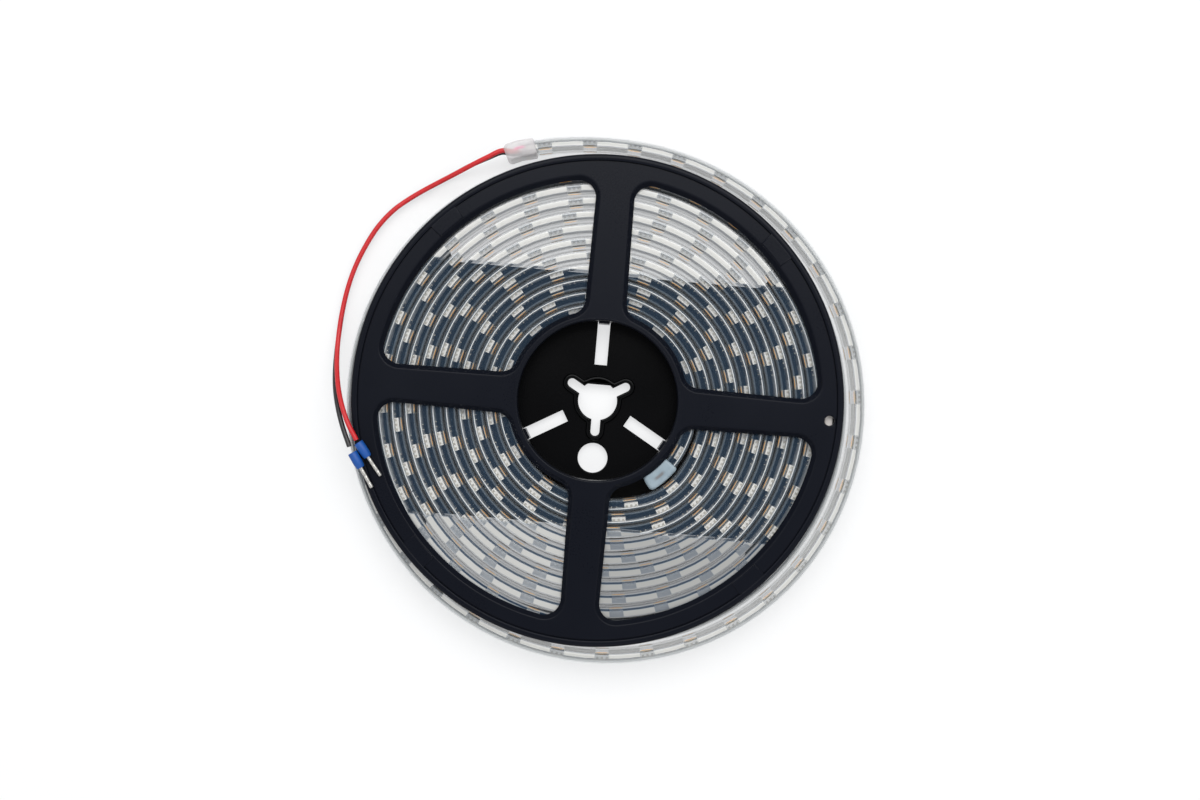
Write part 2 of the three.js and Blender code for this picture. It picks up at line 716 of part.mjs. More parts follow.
const reel = new THREE.Group();
const leads = new THREE.Group();
function place(group, name, geometry, material) {
  const mesh = new THREE.Mesh(geometry, material);
  mesh.name = name;
  group.add(mesh);
}

place(reel, "front_flange", frontHalf(), blackPlastic);
place(reel, "rear_flange", rearHalf(), blackPlastic);
place(reel, "strip_sleeve", stripSleeve(), clearSilicone);
for (let index = 0; index < sectionCount; index += 1) {
  const number = String(index + 1).padStart(2, "0");
  place(reel, `circuit_section_${number}`, circuitSection(index), whiteCircuit);
}
place(reel, "inner_end_cap", endCap(-1, []), milkySilicone);
const redHeight = stripMiddle + wireSpacing / 2;
const blackHeight = stripMiddle - wireSpacing / 2;
const redPoints = wholeRoute(redRoute, redHeight);
const blackPoints = wholeRoute(blackRoute, blackHeight);
place(reel, "outer_end_cap", endCap(1, [wireHole(redPoints), wireHole(blackPoints)]), milkySilicone);
place(reel, "red_solder_joint", solderJoint(redHeight), tinned);
place(reel, "black_solder_joint", solderJoint(blackHeight), tinned);
place(leads, "red_wire", wire(redPoints), redJacket);
place(leads, "black_wire", wire(blackPoints), blackJacket);
place(leads, "red_ferrule_collar", ferruleCollar(redFerrule), blueCollar);
place(leads, "red_ferrule_pin", ferrulePin(redFerrule), tinned);
place(leads, "black_ferrule_collar", ferruleCollar(blackFerrule), blueCollar);
place(leads, "black_ferrule_pin", ferrulePin(blackFerrule), tinned);

// The origin is the middle of the footprint of the reel and its strip, on the surface it lies on.
const footprint = new THREE.Box3().setFromObject(reel).getCenter(new THREE.Vector3());
const stripLightReel = new THREE.Group();
stripLightReel.add(reel, leads);
reel.position.set(-footprint.x, -footprint.y, 0);
leads.position.copy(reel.position);

export default stripLightReel;
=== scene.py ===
import math

import bpy
import numpy as np
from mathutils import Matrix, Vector
from mathutils.geometry import tessellate_polygon


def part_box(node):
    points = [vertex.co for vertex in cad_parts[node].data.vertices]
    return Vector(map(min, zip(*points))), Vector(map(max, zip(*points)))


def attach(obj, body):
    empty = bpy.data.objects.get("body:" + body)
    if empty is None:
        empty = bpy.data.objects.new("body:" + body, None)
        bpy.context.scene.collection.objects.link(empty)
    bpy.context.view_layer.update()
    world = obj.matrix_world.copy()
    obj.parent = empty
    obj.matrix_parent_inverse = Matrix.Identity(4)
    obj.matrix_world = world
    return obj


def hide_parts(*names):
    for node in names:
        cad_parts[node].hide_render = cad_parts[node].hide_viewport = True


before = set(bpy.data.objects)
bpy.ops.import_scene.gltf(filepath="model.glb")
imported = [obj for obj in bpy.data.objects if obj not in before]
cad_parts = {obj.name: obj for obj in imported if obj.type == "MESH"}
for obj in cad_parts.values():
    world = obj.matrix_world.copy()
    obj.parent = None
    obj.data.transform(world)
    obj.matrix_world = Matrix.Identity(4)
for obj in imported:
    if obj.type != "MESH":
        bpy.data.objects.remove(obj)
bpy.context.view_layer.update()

# Lengths are in millimetres from the reel's axis and angles in degrees, until addPiece makes them metres.
low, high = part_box("rear_flange")
reelCentre = np.array([(low[0] + high[0]) / 2, (low[1] + high[1]) / 2, 0.0]) * 1000
rad = math.pi / 180


def polar(angle, radius):
    # x = r cos a, y = r sin a
    return np.stack([radius * np.cos(angle * rad), radius * np.sin(angle * rad)], axis=-1)


def unit(vectors):
    # each vector divided by its length
    return vectors / np.linalg.norm(vectors, axis=-1, keepdims=True)


def raised(flat, height):
    # x and y with a height to each
    return np.concatenate([flat, np.broadcast_to(height, flat.shape[:-1])[..., None]], axis=-1)


def worldPoint(point):
    return tuple((np.asarray(point, dtype=float) + reelCentre) / 1000)


def addObject(name, data):
    item = bpy.data.objects.new(name, data)
    bpy.context.scene.collection.objects.link(item)
    return item


# Camera, straight above the reel, turned by the five degrees that the spokes show
view = {
    "distance": 600, "frontTop": 17.8, "turn": 5, "pixelsPerMm": 2.775, "centreShift": (2.5, 0.5),
    "pictureWidth": 1200, "sensorWidth": 36, "clip": (0.01, 20),
}


def addCamera():
    data = bpy.data.cameras.new("camera")
    data.sensor_width = view["sensorWidth"]
    data.lens = view["sensorWidth"] * view["distance"] * view["pixelsPerMm"] / view["pictureWidth"]
    data.clip_start, data.clip_end = view["clip"]
    camera = addObject("camera", data)
    right = np.array([math.cos(view["turn"] * rad), math.sin(view["turn"] * rad), 0])
    up = np.array([-right[1], right[0], 0])
    shiftX, shiftY = (pixels / view["pixelsPerMm"] for pixels in view["centreShift"])
    place = right * shiftX + up * shiftY + np.array([0, 0, view["frontTop"] + view["distance"]])
    camera.location = worldPoint(place)
    camera.rotation_euler = (0, 0, view["turn"] * rad)
    bpy.context.scene.camera = camera


addCamera()
print("camera")


def operator(operation, swapped=False):
    # a method that adds a Math node
    def apply(self, *others):
        return self.maths(operation, *((*others, self) if swapped else (self, *others)))
    return apply


class Link:
    # A node's output that does maths
    def __init__(self, finish, socket):
        self.finish = finish
        self.socket = socket

    def maths(self, operation, *values):
        return self.finish.node("ShaderNodeMath", {"operation": operation}, dict(enumerate(values)))

    __add__, __radd__ = operator("ADD"), operator("ADD", True)
    __sub__, __rsub__ = operator("SUBTRACT"), operator("SUBTRACT", True)
    __mul__, __rmul__ = operator("MULTIPLY"), operator("MULTIPLY", True)
    __truediv__, __abs__, root = operator("DIVIDE"), operator("ABSOLUTE"), operator("SQRT")
    either, atMost = operator("MAXIMUM"), operator("MINIMUM")

    def wrapped(self, period=1):
        return self.maths("FLOORED_MODULO", self, period)

    def over(self, edge, soft=0.02):
        # 0 below the edge and 1 above it, with a soft step between
        ends = {"Value": self, "From Min": edge - soft, "From Max": edge + soft}
        return self.finish.node("ShaderNodeMapRange", {"interpolation_type": "SMOOTHSTEP"}, ends)

    def under(self, edge, soft=0.02):
        return 1 - self.over(edge, soft)

    def within(self, lower, upper):
        # both ends are an edge and its softness
        return self.over(*lower) * self.under(*upper)


class Nodes:
    # A node tree whose sockets are fed by values or by expressions.
    def __init__(self, tree):
        self.tree = tree

    def feed(self, socket, value):
        if isinstance(value, Link):
            self.tree.links.new(value.socket, socket)
        elif isinstance(value, tuple) and len(value) == 3 and socket.type == "RGBA":
            socket.default_value = (*value, 1)
        else:
            socket.default_value = value

    def node(self, kind, settings=None, sockets=None, output=0):
        made = self.tree.nodes.new(kind)
        for key, value in (settings or {}).items():
            setattr(made, key, value)
        for key, value in (sockets or {}).items():
            self.feed(made.inputs[key], value)
        return Link(self, made.outputs[output])

    def outputs(self, kind, names, sockets=None):
        made = self.node(kind, None, sockets)
        return [Link(self, made.socket.node.outputs[name]) for name in names]

    def directView(self, *kinds):
        # 1 for the named kinds of ray, such as what the camera sees
        total = 0
        for ray in self.outputs("ShaderNodeLightPath", kinds):
            total = ray + total
        return total.atMost(1)


class Finish(Nodes):
    # A Principled material whose varying sockets are fed by expressions.
    def __init__(self, name, **constants):
        self.material = bpy.data.materials.new(name)
        self.material.use_nodes = True
        super().__init__(self.material.node_tree)
        self.shader = self.tree.nodes["Principled BSDF"]
        for key, value in constants.items():
            self.set(key, value)

    def set(self, socket, value):
        # baseColor stands for Base Color
        spaced = "".join(" " + letter if letter.isupper() else letter for letter in socket)
        self.feed(self.shader.inputs[spaced.strip().title()], value)

    def mix(self, factor, first, second):
        return self.node("ShaderNodeMix", {"data_type": "RGBA"}, {0: factor, 6: first, 7: second}, output=2)

    def noise(self, scale, detail=2, roughness=0.5, place=None):
        sockets = {"Vector": place or self.node("ShaderNodeTexCoord", output=3), "Scale": scale,
                   "Detail": detail, "Roughness": roughness}
        return self.node("ShaderNodeTexNoise", None, sockets)

    def uv(self):
        # along the strip in lamp pitches, and across it from 0 at the hub's side to 1
        place = self.node("ShaderNodeUVMap", {"uv_map": "winding"})
        return self.outputs("ShaderNodeSeparateXYZ", ("X", "Y"), {0: place})

    def streaks(self, along, across, count):
        # a noise drawn out along the strip
        place = self.node("ShaderNodeCombineXYZ", None, {0: along * 0.7, 1: across * count})
        return self.noise(1, 2, 0.6, place)

    def bump(self, height, strength, distance):
        sockets = {"Height": height, "Strength": strength, "Distance": distance}
        self.feed(self.shader.inputs["Normal"], self.node("ShaderNodeBump", None, sockets))


def blackPlastic(name, base, second, gloss, rough):
    # matt moulded plastic: a fine grain, and a cloud that shifts its tone and sheen
    finish = Finish(name)
    finish.shader.inputs["Specular IOR Level"].default_value = gloss
    grain = finish.noise(1500, 3, 0.6)
    cloud = finish.noise(35, 2)
    finish.set("baseColor", finish.mix(cloud, base, second))
    finish.set("roughness", rough + 0.1 * cloud + 0.08 * grain)
    finish.bump(grain, 0.12, 0.00012)
    return finish.material


# The clear sleeve's finish. Places on the reel are in metres from its axis. Bands across the sleeve are edges
# and softness, in shares of its thickness from the hub's side. A lamp's reach is a share of the lamp pitch.
skinPlaces = {
    "windowEdge": 0.0466, "windowArc": 0.08, "rimHole": 0.084, "holeSquare": 5e-6, "flangeEdge": 0.0885,
    "soft": 0.0004, "innerWall": (0.22, 0.03), "outerWall": (0.83, 0.03), "outerEdgeShade": (0.62, 0.03),
    "corner": (0.47, 0.018), "mirroredLampBand": ((0.02, 0.01), (0.2, 0.02)), "reflectionAt": 0.075,
    "reflectionBand": (0.05, 0.02), "milk": ((0.38, 0.05), (0.82, 0.02)), "outerCircuitLight": ((0.26, 0.04), (0.6, 0.02)),
    "lampReach": (0.155, 0.01), "reflectionReach": (0.115, 0.035), "streaks": 26,
}
# Skin colours. Besides the walls' own two tones, the gap's navy is partly painted sky reflection, and the
# rest are painted light and shade
skinColours = {
    "gap": (0.05, 0.14, 0.28), "wall": ((0.13, 0.21, 0.3), (0.42, 0.49, 0.56)),
    "outerWall": (0.17, 0.165, 0.155), "windowWallShade": (0.68, 0.69, 0.7), "outerEdgeShade": (0.36, 0.38, 0.39),
    "paintedCornerHighlight": (0.55, 0.7, 0.84), "paintedCornerShade": (0.24, 0.21, 0.19), "milk": (0.8, 0.8, 0.77),
    "lamp": (0.62, 0.55, 0.44), "yolk": (0.84, 0.36, 0.03), "paintedShade": (0.04, 0.045, 0.05),
    "rimHole": (0.95, 0.9, 0.86),
}


def sleeveSkin():
    # grey over the side walls, a navy between them that is partly painted sky reflection, a painted highlight
    # line at each corner, and a painted reflection of the lamps' body and yellow beside the inner wall
    finish, places, colours = Finish("sleeveSkin", roughness=0.12), skinPlaces, skinColours
    along, across = finish.uv()
    fromAxis = finish.node("ShaderNodeVectorMath", {"operation": "SUBTRACT"},
                           {0: finish.node("ShaderNodeTexCoord", output=3), 1: tuple(reelCentre / 1000)})
    x, y = finish.outputs("ShaderNodeSeparateXYZ", ("X", "Y"), {0: fromAxis})
    radius = (x * x + y * y).root()

    # open air behind it: at the rear windows, the rim's hole and beyond the flange; over the lower windows a
    # painted shade
    soft, hole = places["soft"], places["holeSquare"]
    windows = abs(y).over(places["windowEdge"], soft) * radius.under(places["windowArc"], soft)
    # painted light: under the front flange's rim hole the skin is painted a bright cream
    beside = x - places["rimHole"]
    rimHole = (beside * beside + y * y).under(hole, hole / 10)
    outer = radius.over(places["flangeEdge"], soft)
    clear = (windows + rimHole).either(outer)
    # painted shade over the lower rear windows, deeper on the right
    paintedShade = windows * y.under(0, 0.001) * (0.38 + 0.2 * x.over(0, 0.01))

    # bands across the sleeve, some only beside a lamp
    streak = finish.streaks(along, across, places["streaks"])
    wall = across.under(*places["innerWall"]).either(across.over(*places["outerWall"]))
    # painted shade: beyond the flange the outer turn's outer band is painted grey
    edge = outer * across.over(*places["outerEdgeShade"])
    # a painted highlight along each rounded corner of the sleeve; where open air lies behind, a painted grey
    # shade instead
    line = abs(across - 0.5).over(*places["corner"])
    fromLamp = abs(along.wrapped() - 0.5)
    lamp = fromLamp.under(*places["lampReach"])
    # painted reflection of each lamp in the inner wall: the lamp colour over a band beside it, and its
    # phosphor's yellow in a narrower band
    face = lamp * across.within(*places["mirroredLampBand"])
    yolk = abs(across - places["reflectionAt"]).under(*places["reflectionBand"]) * fromLamp.under(*places["reflectionReach"])
    # painted light: where open air lies behind, the band over the circuit's face is painted milky white, less
    # beside a lamp
    circuit = across.within(*places["milk"])
    circuit = circuit + outer * (across.within(*places["outerCircuitLight"]) - circuit)
    milk = clear * circuit * (1 - 0.55 * lamp)

    # where open air lies behind, the walls get painted shade: pale grey over the rear windows, the darker
    # outerWall grey beyond the flange
    tint = finish.mix(wall, colours["gap"], finish.mix(streak, *colours["wall"]))
    for share, colour in (
        (wall * clear, finish.mix(windows, colours["outerWall"], colours["windowWallShade"])),
        (edge, colours["outerEdgeShade"]), (line, finish.mix(clear, colours["paintedCornerHighlight"], colours["paintedCornerShade"])),
        (milk, colours["milk"]), (face, colours["lamp"]), (yolk, colours["yolk"]), (paintedShade, colours["paintedShade"]),
        (rimHole, colours["rimHole"]),
    ):
        tint = finish.mix(share, tint, colour)
    finish.set("baseColor", tint)
    # the painted corner lines, lamp reflections, circuit light, shade and the rim hole's light also make the
    # skin less clear
    everywhere = 0.1 - 0.06 * clear + wall * (0.07 + 0.16 * streak) + 0.18 * line + 0.2 * face + 0.42 * yolk
    inOpenAir = clear * (0.12 * wall + 0.15 * line) + 0.6 * milk + 0.52 * edge + 0.9 * paintedShade + 0.5 * rimHole
    finish.set("alpha", everywhere + inOpenAir)
    return finish.material


def sleeveSide():
    finish = Finish("sleeveSide", roughness=0.15, baseColor=(0.5, 0.54, 0.58))
    finish.set("alpha", 0.07 + 0.06 * finish.noise(60, 2))
    return finish.material


def sleeveCavity():
    finish = Finish("sleeveCavity", baseColor=(0.4, 0.48, 0.56), alpha=0.035)
    finish.set("roughness", 0.1 + 0.1 * finish.noise(80, 2))
    return finish.material


def milkyCap(name, base, accent, alpha, spot):
    # cloudy silicone, with a tinted spot in the middle, over the end of the circuit
    finish = Finish(name, roughness=0.3)
    cloud = finish.noise(260, 2)
    along, across = finish.uv()
    glow = abs(along - 0.52).under(0.17, 0.09) * abs(across - 0.55).under(0.12, 0.08)
    finish.set("baseColor", finish.mix(glow, finish.mix(cloud, base, accent), spot))
    finish.set("alpha", alpha + 0.15 * cloud + 0.2 * glow)
    return finish.material


def whiteCircuit():
    # white mask, with pairs of tinned pads at every third lamp's cutting line
    finish = Finish("whiteCircuit")
    along, across = finish.uv()
    cutting = abs((along / 3).wrapped() - 0.5).over(0.455, 0.004)
    pad = abs((across * 4).wrapped() - 0.5).under(0.3, 0.03) * cutting
    speck = finish.noise(900, 2)
    mask = finish.mix(speck, (0.74, 0.75, 0.73), (0.84, 0.85, 0.83))
    finish.set("baseColor", finish.mix(pad, mask, (0.5, 0.42, 0.3)))
    finish.set("metallic", pad * 0.9)
    finish.set("roughness", 0.42 - 0.15 * pad)
    return finish.material


def plain(name, base, second, scale, rough, metallic=0.0, grain=0.0):
    # two tones that a soft noise mixes, with roughness that follows it
    finish = Finish(name, metallic=metallic)
    cloud = finish.noise(scale, 3)
    finish.set("baseColor", finish.mix(cloud, base, second))
    finish.set("roughness", rough + 0.12 * cloud)
    if grain:
        finish.bump(finish.noise(scale * 6, 2), grain, 0.0001)
    return finish.material


finishes = {
    "black": blackPlastic("blackPlastic", (0.0028, 0.0038, 0.0076), (0.0042, 0.0055, 0.0102), 0.11, 0.2),
    # the rear flange's black is darker than the front's: partly its own tone, partly painted shade of the
    # deep hub
    "deepBlackAndShade": blackPlastic("deepBlackPlasticAndShade", (0.0005, 0.0006, 0.001), (0.0009, 0.001, 0.0015),
                              0.11, 0.12),
    "skin": sleeveSkin(),
    "side": sleeveSide(),
    "cavity": sleeveCavity(),
    "innerCap": milkyCap("innerCapSilicone", (0.3, 0.4, 0.48), (0.46, 0.56, 0.62), 0.62, (0.2, 0.2, 0.21)),
    "outerCap": milkyCap("outerCapSilicone", (0.68, 0.64, 0.66), (0.78, 0.76, 0.76), 0.46,
                         (0.72, 0.38, 0.48)),
    "circuit": whiteCircuit(),
    "lampBody": plain("lampBody", (0.84, 0.82, 0.76), (0.93, 0.91, 0.86), 700, 0.35),
    "phosphor": plain("phosphor", (0.75, 0.42, 0.03), (0.85, 0.52, 0.06), 900, 0.3),
    "pins": plain("lampPins", (0.5, 0.47, 0.4), (0.66, 0.62, 0.54), 800, 0.3, 0.5),
    "resistor": plain("resistorBody", (0.02, 0.02, 0.022), (0.035, 0.033, 0.03), 900, 0.35),
    "solder": plain("solder", (0.55, 0.55, 0.53), (0.7, 0.69, 0.66), 800, 0.28, 1.0, 0.2),
    "red": plain("redJacket", (0.5, 0.008, 0.012), (0.58, 0.013, 0.018), 300, 0.34, 0.0, 0.05),
    "blackJacket": plain("blackJacket", (0.012, 0.012, 0.014), (0.02, 0.02, 0.022), 300, 0.32, 0.0, 0.05),
    "blue": plain("blueCollar", (0.0005, 0.055, 0.27), (0.001, 0.08, 0.36), 300, 0.42, 0.0, 0.1),
    "tin": plain("tinnedPin", (0.5, 0.49, 0.46), (0.64, 0.63, 0.6), 500, 0.28, 1.0, 0.15),
}
print("finishes")


class Form:
    # Closed surfaces gathered for one piece, each with its material, and UVs where a finish needs them.
    def __init__(self):
        self.points, self.faces, self.slots, self.uvs = [], [], [], []
        self.count = 0

    def add(self, points, faces, slot=0, uvs=None):
        points = np.asarray(points, dtype=float).reshape(-1, 3)
        faces = [np.asarray(face, dtype=int) for face in faces]
        if signedVolume(points, faces) < 0:
            faces = [face[:, ::-1] for face in faces]
        for face in faces:
            self.faces.append(face + self.count)
            self.slots.append(np.broadcast_to(slot, len(face)) if np.ndim(slot) == 0 else slot[: len(face)])
            slot = slot if np.ndim(slot) == 0 else slot[len(face):]
        self.points.append(points)
        self.uvs.append(np.zeros((len(points), 2)) if uvs is None else np.asarray(uvs).reshape(-1, 2))
        self.count += len(points)


def signedVolume(points, faces):
    # the sum over fans of triangles of a . (b x c) / 6
    total = 0.0
    for face in faces:
        first = points[face[:, 0]]
        for k in range(1, face.shape[1] - 1):
            total += np.einsum("ij,ij->i", first, np.cross(points[face[:, k]], points[face[:, k + 1]])).sum()
    return total / 6


def gridFaces(rows, columns, closedRows=False, closedColumns=False):
    # the quads of a grid of rows x columns points, wrapped round where an end is closed
    i = np.arange(rows if closedRows else rows - 1)[:, None]
    j = np.arange(columns if closedColumns else columns - 1)[None, :]
    down, right = (i + 1) % rows, (j + 1) % columns
    corners = [i * columns + j, down * columns + j, down * columns + right, i * columns + right]
    return np.stack(np.broadcast_arrays(*corners), axis=-1).reshape(-1, 4)


def tubeFaces(rows, columns):
    # closed rings one after another, with a face over the first and over the last
    ends = np.array([np.arange(columns)[::-1], (rows - 1) * columns + np.arange(columns)])
    return [gridFaces(rows, columns, closedColumns=True), ends]


def addPiece(name, form, materials, smooth, replaced):
    mesh = bpy.data.meshes.new(name)
    points = (np.concatenate(form.points) + reelCentre) / 1000
    faces = [face for group in form.faces for face in group.tolist()]
    mesh.from_pydata(points.tolist(), [], faces)
    for material in materials:
        mesh.materials.append(finishes[material])
    mesh.polygons.foreach_set("material_index", np.concatenate(form.slots).astype(np.int32))
    layer = mesh.uv_layers.new(name="winding")
    corners = np.empty(len(mesh.loops), dtype=np.int32)
    mesh.loops.foreach_get("vertex_index", corners)
    layer.data.foreach_set("uv", np.concatenate(form.uvs)[corners].astype(np.float32).ravel())
    mesh.update()
    mesh.shade_smooth()
    mesh.set_sharp_from_angle(angle=smooth * rad)
    piece = addObject(name, mesh)
    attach(piece, "root")
    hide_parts(*replaced)
    return piece


# How the strip winds: an even spiral, a bulge on one side, a lift where a turn passes over the inner cap,
# a looser last turn and a lifted tail. The inner surface's radius is a function of the degrees wound.
winding = {
    "start": 314.0215, "turns": 12.43994, "pitch": 4.885, "base": 29.95, "facet": 15, "slack": 0.25,
    "bulge": 1.9, "bulgeTwice": 0.7, "bulgeAngle": 325, "startLift": 1, "passingLift": 2, "passingTurns": 13,
    "liftSpread": 22, "loose": 1.62, "looseDegrees": 480, "tailLift": 2.3, "tailDegrees": 28,
}
strip = {
    "middle": 8.9, "thickness": 4.58, "width": 12, "sideWall": 0.55, "edgeWall": 0.7, "circuitWidth": 10,
    "circuitThickness": 0.3, "running": 0.25, "pitch": 1000 / 60, "lamps": 300, "begins": 5,
    "stationsPerTurn": 90,
}
woundEnd = winding["turns"] * 360
circuitOffset = strip["thickness"] - strip["sideWall"] - strip["running"]


def windingRadius(wound):
    # base + pitch t / 360 + bulge + lift over the cap + loose last turn + tail
    w = winding
    wound = np.clip(wound, 0, woundEnd)
    angle = (w["start"] + wound - w["bulgeAngle"]) * rad
    tight = 1 - w["slack"] * (1 - np.clip(wound / 360, 0, 1))
    bulge = w["bulge"] * np.cos(angle) + w["bulgeTwice"] * np.cos(2 * angle)
    fromCap = (wound + 181) % 360 - 180
    passing = w["passingLift"] * (1 - (wound / 360 - 1) / w["passingTurns"])
    height = np.where(wound < 180, w["startLift"], passing)
    lift = height * np.exp(-((fromCap / w["liftSpread"]) ** 2))
    loose = w["loose"] * np.clip((wound - woundEnd + w["looseDegrees"]) / w["looseDegrees"] * 2, 0, 1) ** 2
    tail = w["tailLift"] * np.clip((wound - woundEnd + w["tailDegrees"]) / w["tailDegrees"], 0, 1) ** 2
    return w["base"] + w["pitch"] * wound / 360 + tight * bulge + lift + loose + tail


def facetRadius(wound):
    # the same on the chords between stations: r = r0 r1 sin D / (r0 sin a + r1 sin b)
    before = np.minimum(np.floor(wound / winding["facet"]) * winding["facet"], woundEnd - 1e-6)
    after = np.minimum(before + winding["facet"], woundEnd)
    near, far = windingRadius(before), windingRadius(after)
    slope = near * np.sin((wound - before) * rad) + far * np.sin((after - wound) * rad)
    return near * far * np.sin((after - before) * rad) / slope


def circuitMarks():
    # degrees wound at each lamp pitch, by adding up the length of the circuit's path
    step = 0.25
    wound = np.arange(strip["begins"], woundEnd, step)
    length = np.concatenate([[0], np.cumsum((facetRadius(wound[:-1]) + circuitOffset) * step * rad)])
    lampEnds = np.arange(strip["lamps"] + 1) * strip["pitch"]
    return np.interp(lampEnds, length, wound), wound, length / strip["pitch"]


marks, woundSamples, pitchSamples = circuitMarks()


def onWinding(wound, offset, height):
    # a point at an offset outwards from the sleeve's inner surface
    return raised(polar(winding["start"] + wound, windingRadius(wound) + offset), height)


# The two supply wires: from the circuit's end out of the cap, down to the floor and up over the rim
leads = {
    "diameter": 1.8, "spacing": 6.4, "seat": 0.3, "chamber": 2,
    "red": [
        (-42.7, 87.5, 12.1), (-47.4, 84.9, 11.8), (-53.0, 81.7, 10.4), (-58.8, 78.4, 7.9),
        (-64.6, 75.2, 5.3), (-70.2, 71.9, 3.6), (-75.6, 68.2, 2.9), (-81.0, 63.6, 2.85),
        (-86.2, 57.1, 2.85), (-90.2, 49.6, 2.85), (-93.4, 41.5, 2.85), (-95.5, 33.3, 2.85),
        (-96.8, 24.2, 2.95), (-97.2, 16.0, 3.8), (-96.8, 9.0, 6.2), (-95.7, 2.5, 9.9),
        (-93.9, -4.0, 14.1), (-91.4, -10.4, 17.6), (-88.4, -16.4, 19.6), (-85.0, -21.7, 19.9),
    ],
    "black": [
        (-42.8, 87.8, 5.7), (-47.7, 85.5, 5.3), (-53.6, 82.6, 3.8), (-59.4, 79.2, 2),
        (-65.0, 75.7, 1.15), (-70.5, 72.2, 0.95), (-75.8, 68.4, 0.95), (-81.3, 63.8, 0.95),
        (-86.5, 57.3, 0.95), (-90.5, 49.8, 0.95), (-93.7, 41.6, 0.95), (-95.8, 33.4, 0.95),
        (-97.05, 24.3, 0.95), (-97.5, 16.0, 1.55), (-97.42, 9.0, 3.7), (-96.8, 2.5, 7.2),
        (-95.5, -4.0, 11.4), (-93.4, -10.6, 15.3), (-90.6, -17.5, 18.1), (-87.4, -24.2, 19.5),
    ],
}
ferrules = {
    "red": ((-84.3, -22.5, 19.8), (-75.2, -34.1, 18.4)),
    "black": ((-86.1, -26.3, 19.8), (-78.0, -38.4, 18.9)),
    "collarRadius": 1.75, "collarLength": 6.2, "boreGap": 0.2, "pinRadius": 0.7, "pinLength": 8.3,
    "pinRings": 40, "crimpDepth": 0.22, "crimpWaves": 2.4, "crimpMargin": 0.8,
}


def smoothRoute(points, samples=6):
    # centripetal Catmull-Rom: on each span a cubic with the slopes that the square roots of the gaps give
    ends = np.concatenate([[2 * points[0] - points[1]], points, [2 * points[-1] - points[-2]]])
    p0, p1, p2, p3 = ends[:-3], ends[1:-2], ends[2:-1], ends[3:]
    d0, d1, d2 = (np.sqrt(np.linalg.norm(b - a, axis=1))[:, None] for a, b in ((p0, p1), (p1, p2), (p2, p3)))
    m1 = ((p1 - p0) / d0 - (p2 - p0) / (d0 + d1) + (p2 - p1) / d1) * d1
    m2 = ((p2 - p1) / d1 - (p3 - p1) / (d1 + d2) + (p3 - p2) / d2) * d1
    t = (np.arange(samples) / samples)[None, :, None]
    p1, p2, m1, m2 = (value[:, None] for value in (p1, p2, m1, m2))
    curve = p1 + m1 * t + (3 * p2 - 3 * p1 - 2 * m1 - m2) * t**2 + (2 * p1 - 2 * p2 + m1 + m2) * t**3
    return np.concatenate([curve.reshape(-1, 3), points[-1:]])


def sweepRound(path, radius, sides=20):
    # circles across the path, each in the plane of the level normal and the one that completes it
    along = unit(np.gradient(path, axis=0))
    level = unit(np.cross([0, 0, 1.0], along))
    upright = np.cross(along, level)
    turns = np.arange(sides) * 2 * math.pi / sides
    ring = np.cos(turns)[None, :, None] * level[:, None] + np.sin(turns)[None, :, None] * upright[:, None]
    return path[:, None] + radius * ring, tubeFaces(len(path), sides)


def lathe(profile, ferrule, squash=None, segments=32):
    # rings of a closed profile (radius, distance) round the ferrule's own line
    start, target = (np.array(point, dtype=float) for point in ferrule)
    along = unit(target - start)
    level = unit(np.cross([0, 0, 1.0], along))
    upright = np.cross(along, level)
    turns = np.arange(segments) * 2 * math.pi / segments
    radius, distance = np.asarray(profile, dtype=float).T
    swell = 1 - squash(distance)[:, None] * np.cos(2 * turns) ** 2 if squash else np.ones((1, segments))
    ring = np.cos(turns)[:, None] * level + np.sin(turns)[:, None] * upright
    points = start + distance[:, None, None] * along + (radius[:, None] * swell)[..., None] * ring
    return points, [gridFaces(len(radius), segments, closedRows=True, closedColumns=True)]


def crimped(distance):
    # how far the pin's sides are pressed in: waves along the part between its collar and its tip
    past = distance - ferrules["collarLength"]
    between = (past > ferrules["crimpMargin"]) * (past < ferrules["pinLength"] - ferrules["crimpMargin"])
    return ferrules["crimpDepth"] * np.clip(np.sin(past * ferrules["crimpWaves"]), 0, 1) * between


def addFerrule(colour):
    # a collar that narrows towards its pin, open at the wire's end, then the pin with a rounded tip
    ferrule, pinRadius, rings = ferrules[colour], ferrules["pinRadius"], ferrules["pinRings"]
    bore = leads["diameter"] / 2 + ferrules["boreGap"]
    outside, length = ferrules["collarRadius"], ferrules["collarLength"]
    form = Form()
    form.add(*lathe([
        (bore, 0.15), (bore + 0.12, 0), (outside - 0.15, 0), (outside, 0.2), (outside, length * 0.62),
        (outside * 0.97, length * 0.75), (outside * 0.86, length * 0.95), (outside * 0.8, length),
        (pinRadius + 0.1, length), (bore, length * 0.8),
    ], ferrule))
    collar = addPiece(f"{colour}Collar", form, ["blue"], 40, [f"{colour}_ferrule_collar"])

    tip = length + ferrules["pinLength"]
    shaft = np.linspace(length * 0.75, tip - 0.35, rings)
    distance = np.concatenate([[length * 0.55, length * 0.55], shaft, [tip - 0.1, tip, tip]])
    rounded = [pinRadius - 0.12, pinRadius - 0.28, 0.001]
    radius = np.concatenate([[0.001, pinRadius], np.full(rings, pinRadius), rounded])
    form = Form()
    form.add(*lathe(np.column_stack([radius, distance]), ferrule, crimped))
    pin = addPiece(f"{colour}Pin", form, ["tin"], 40, [f"{colour}_ferrule_pin"])
    return [collar, pin]


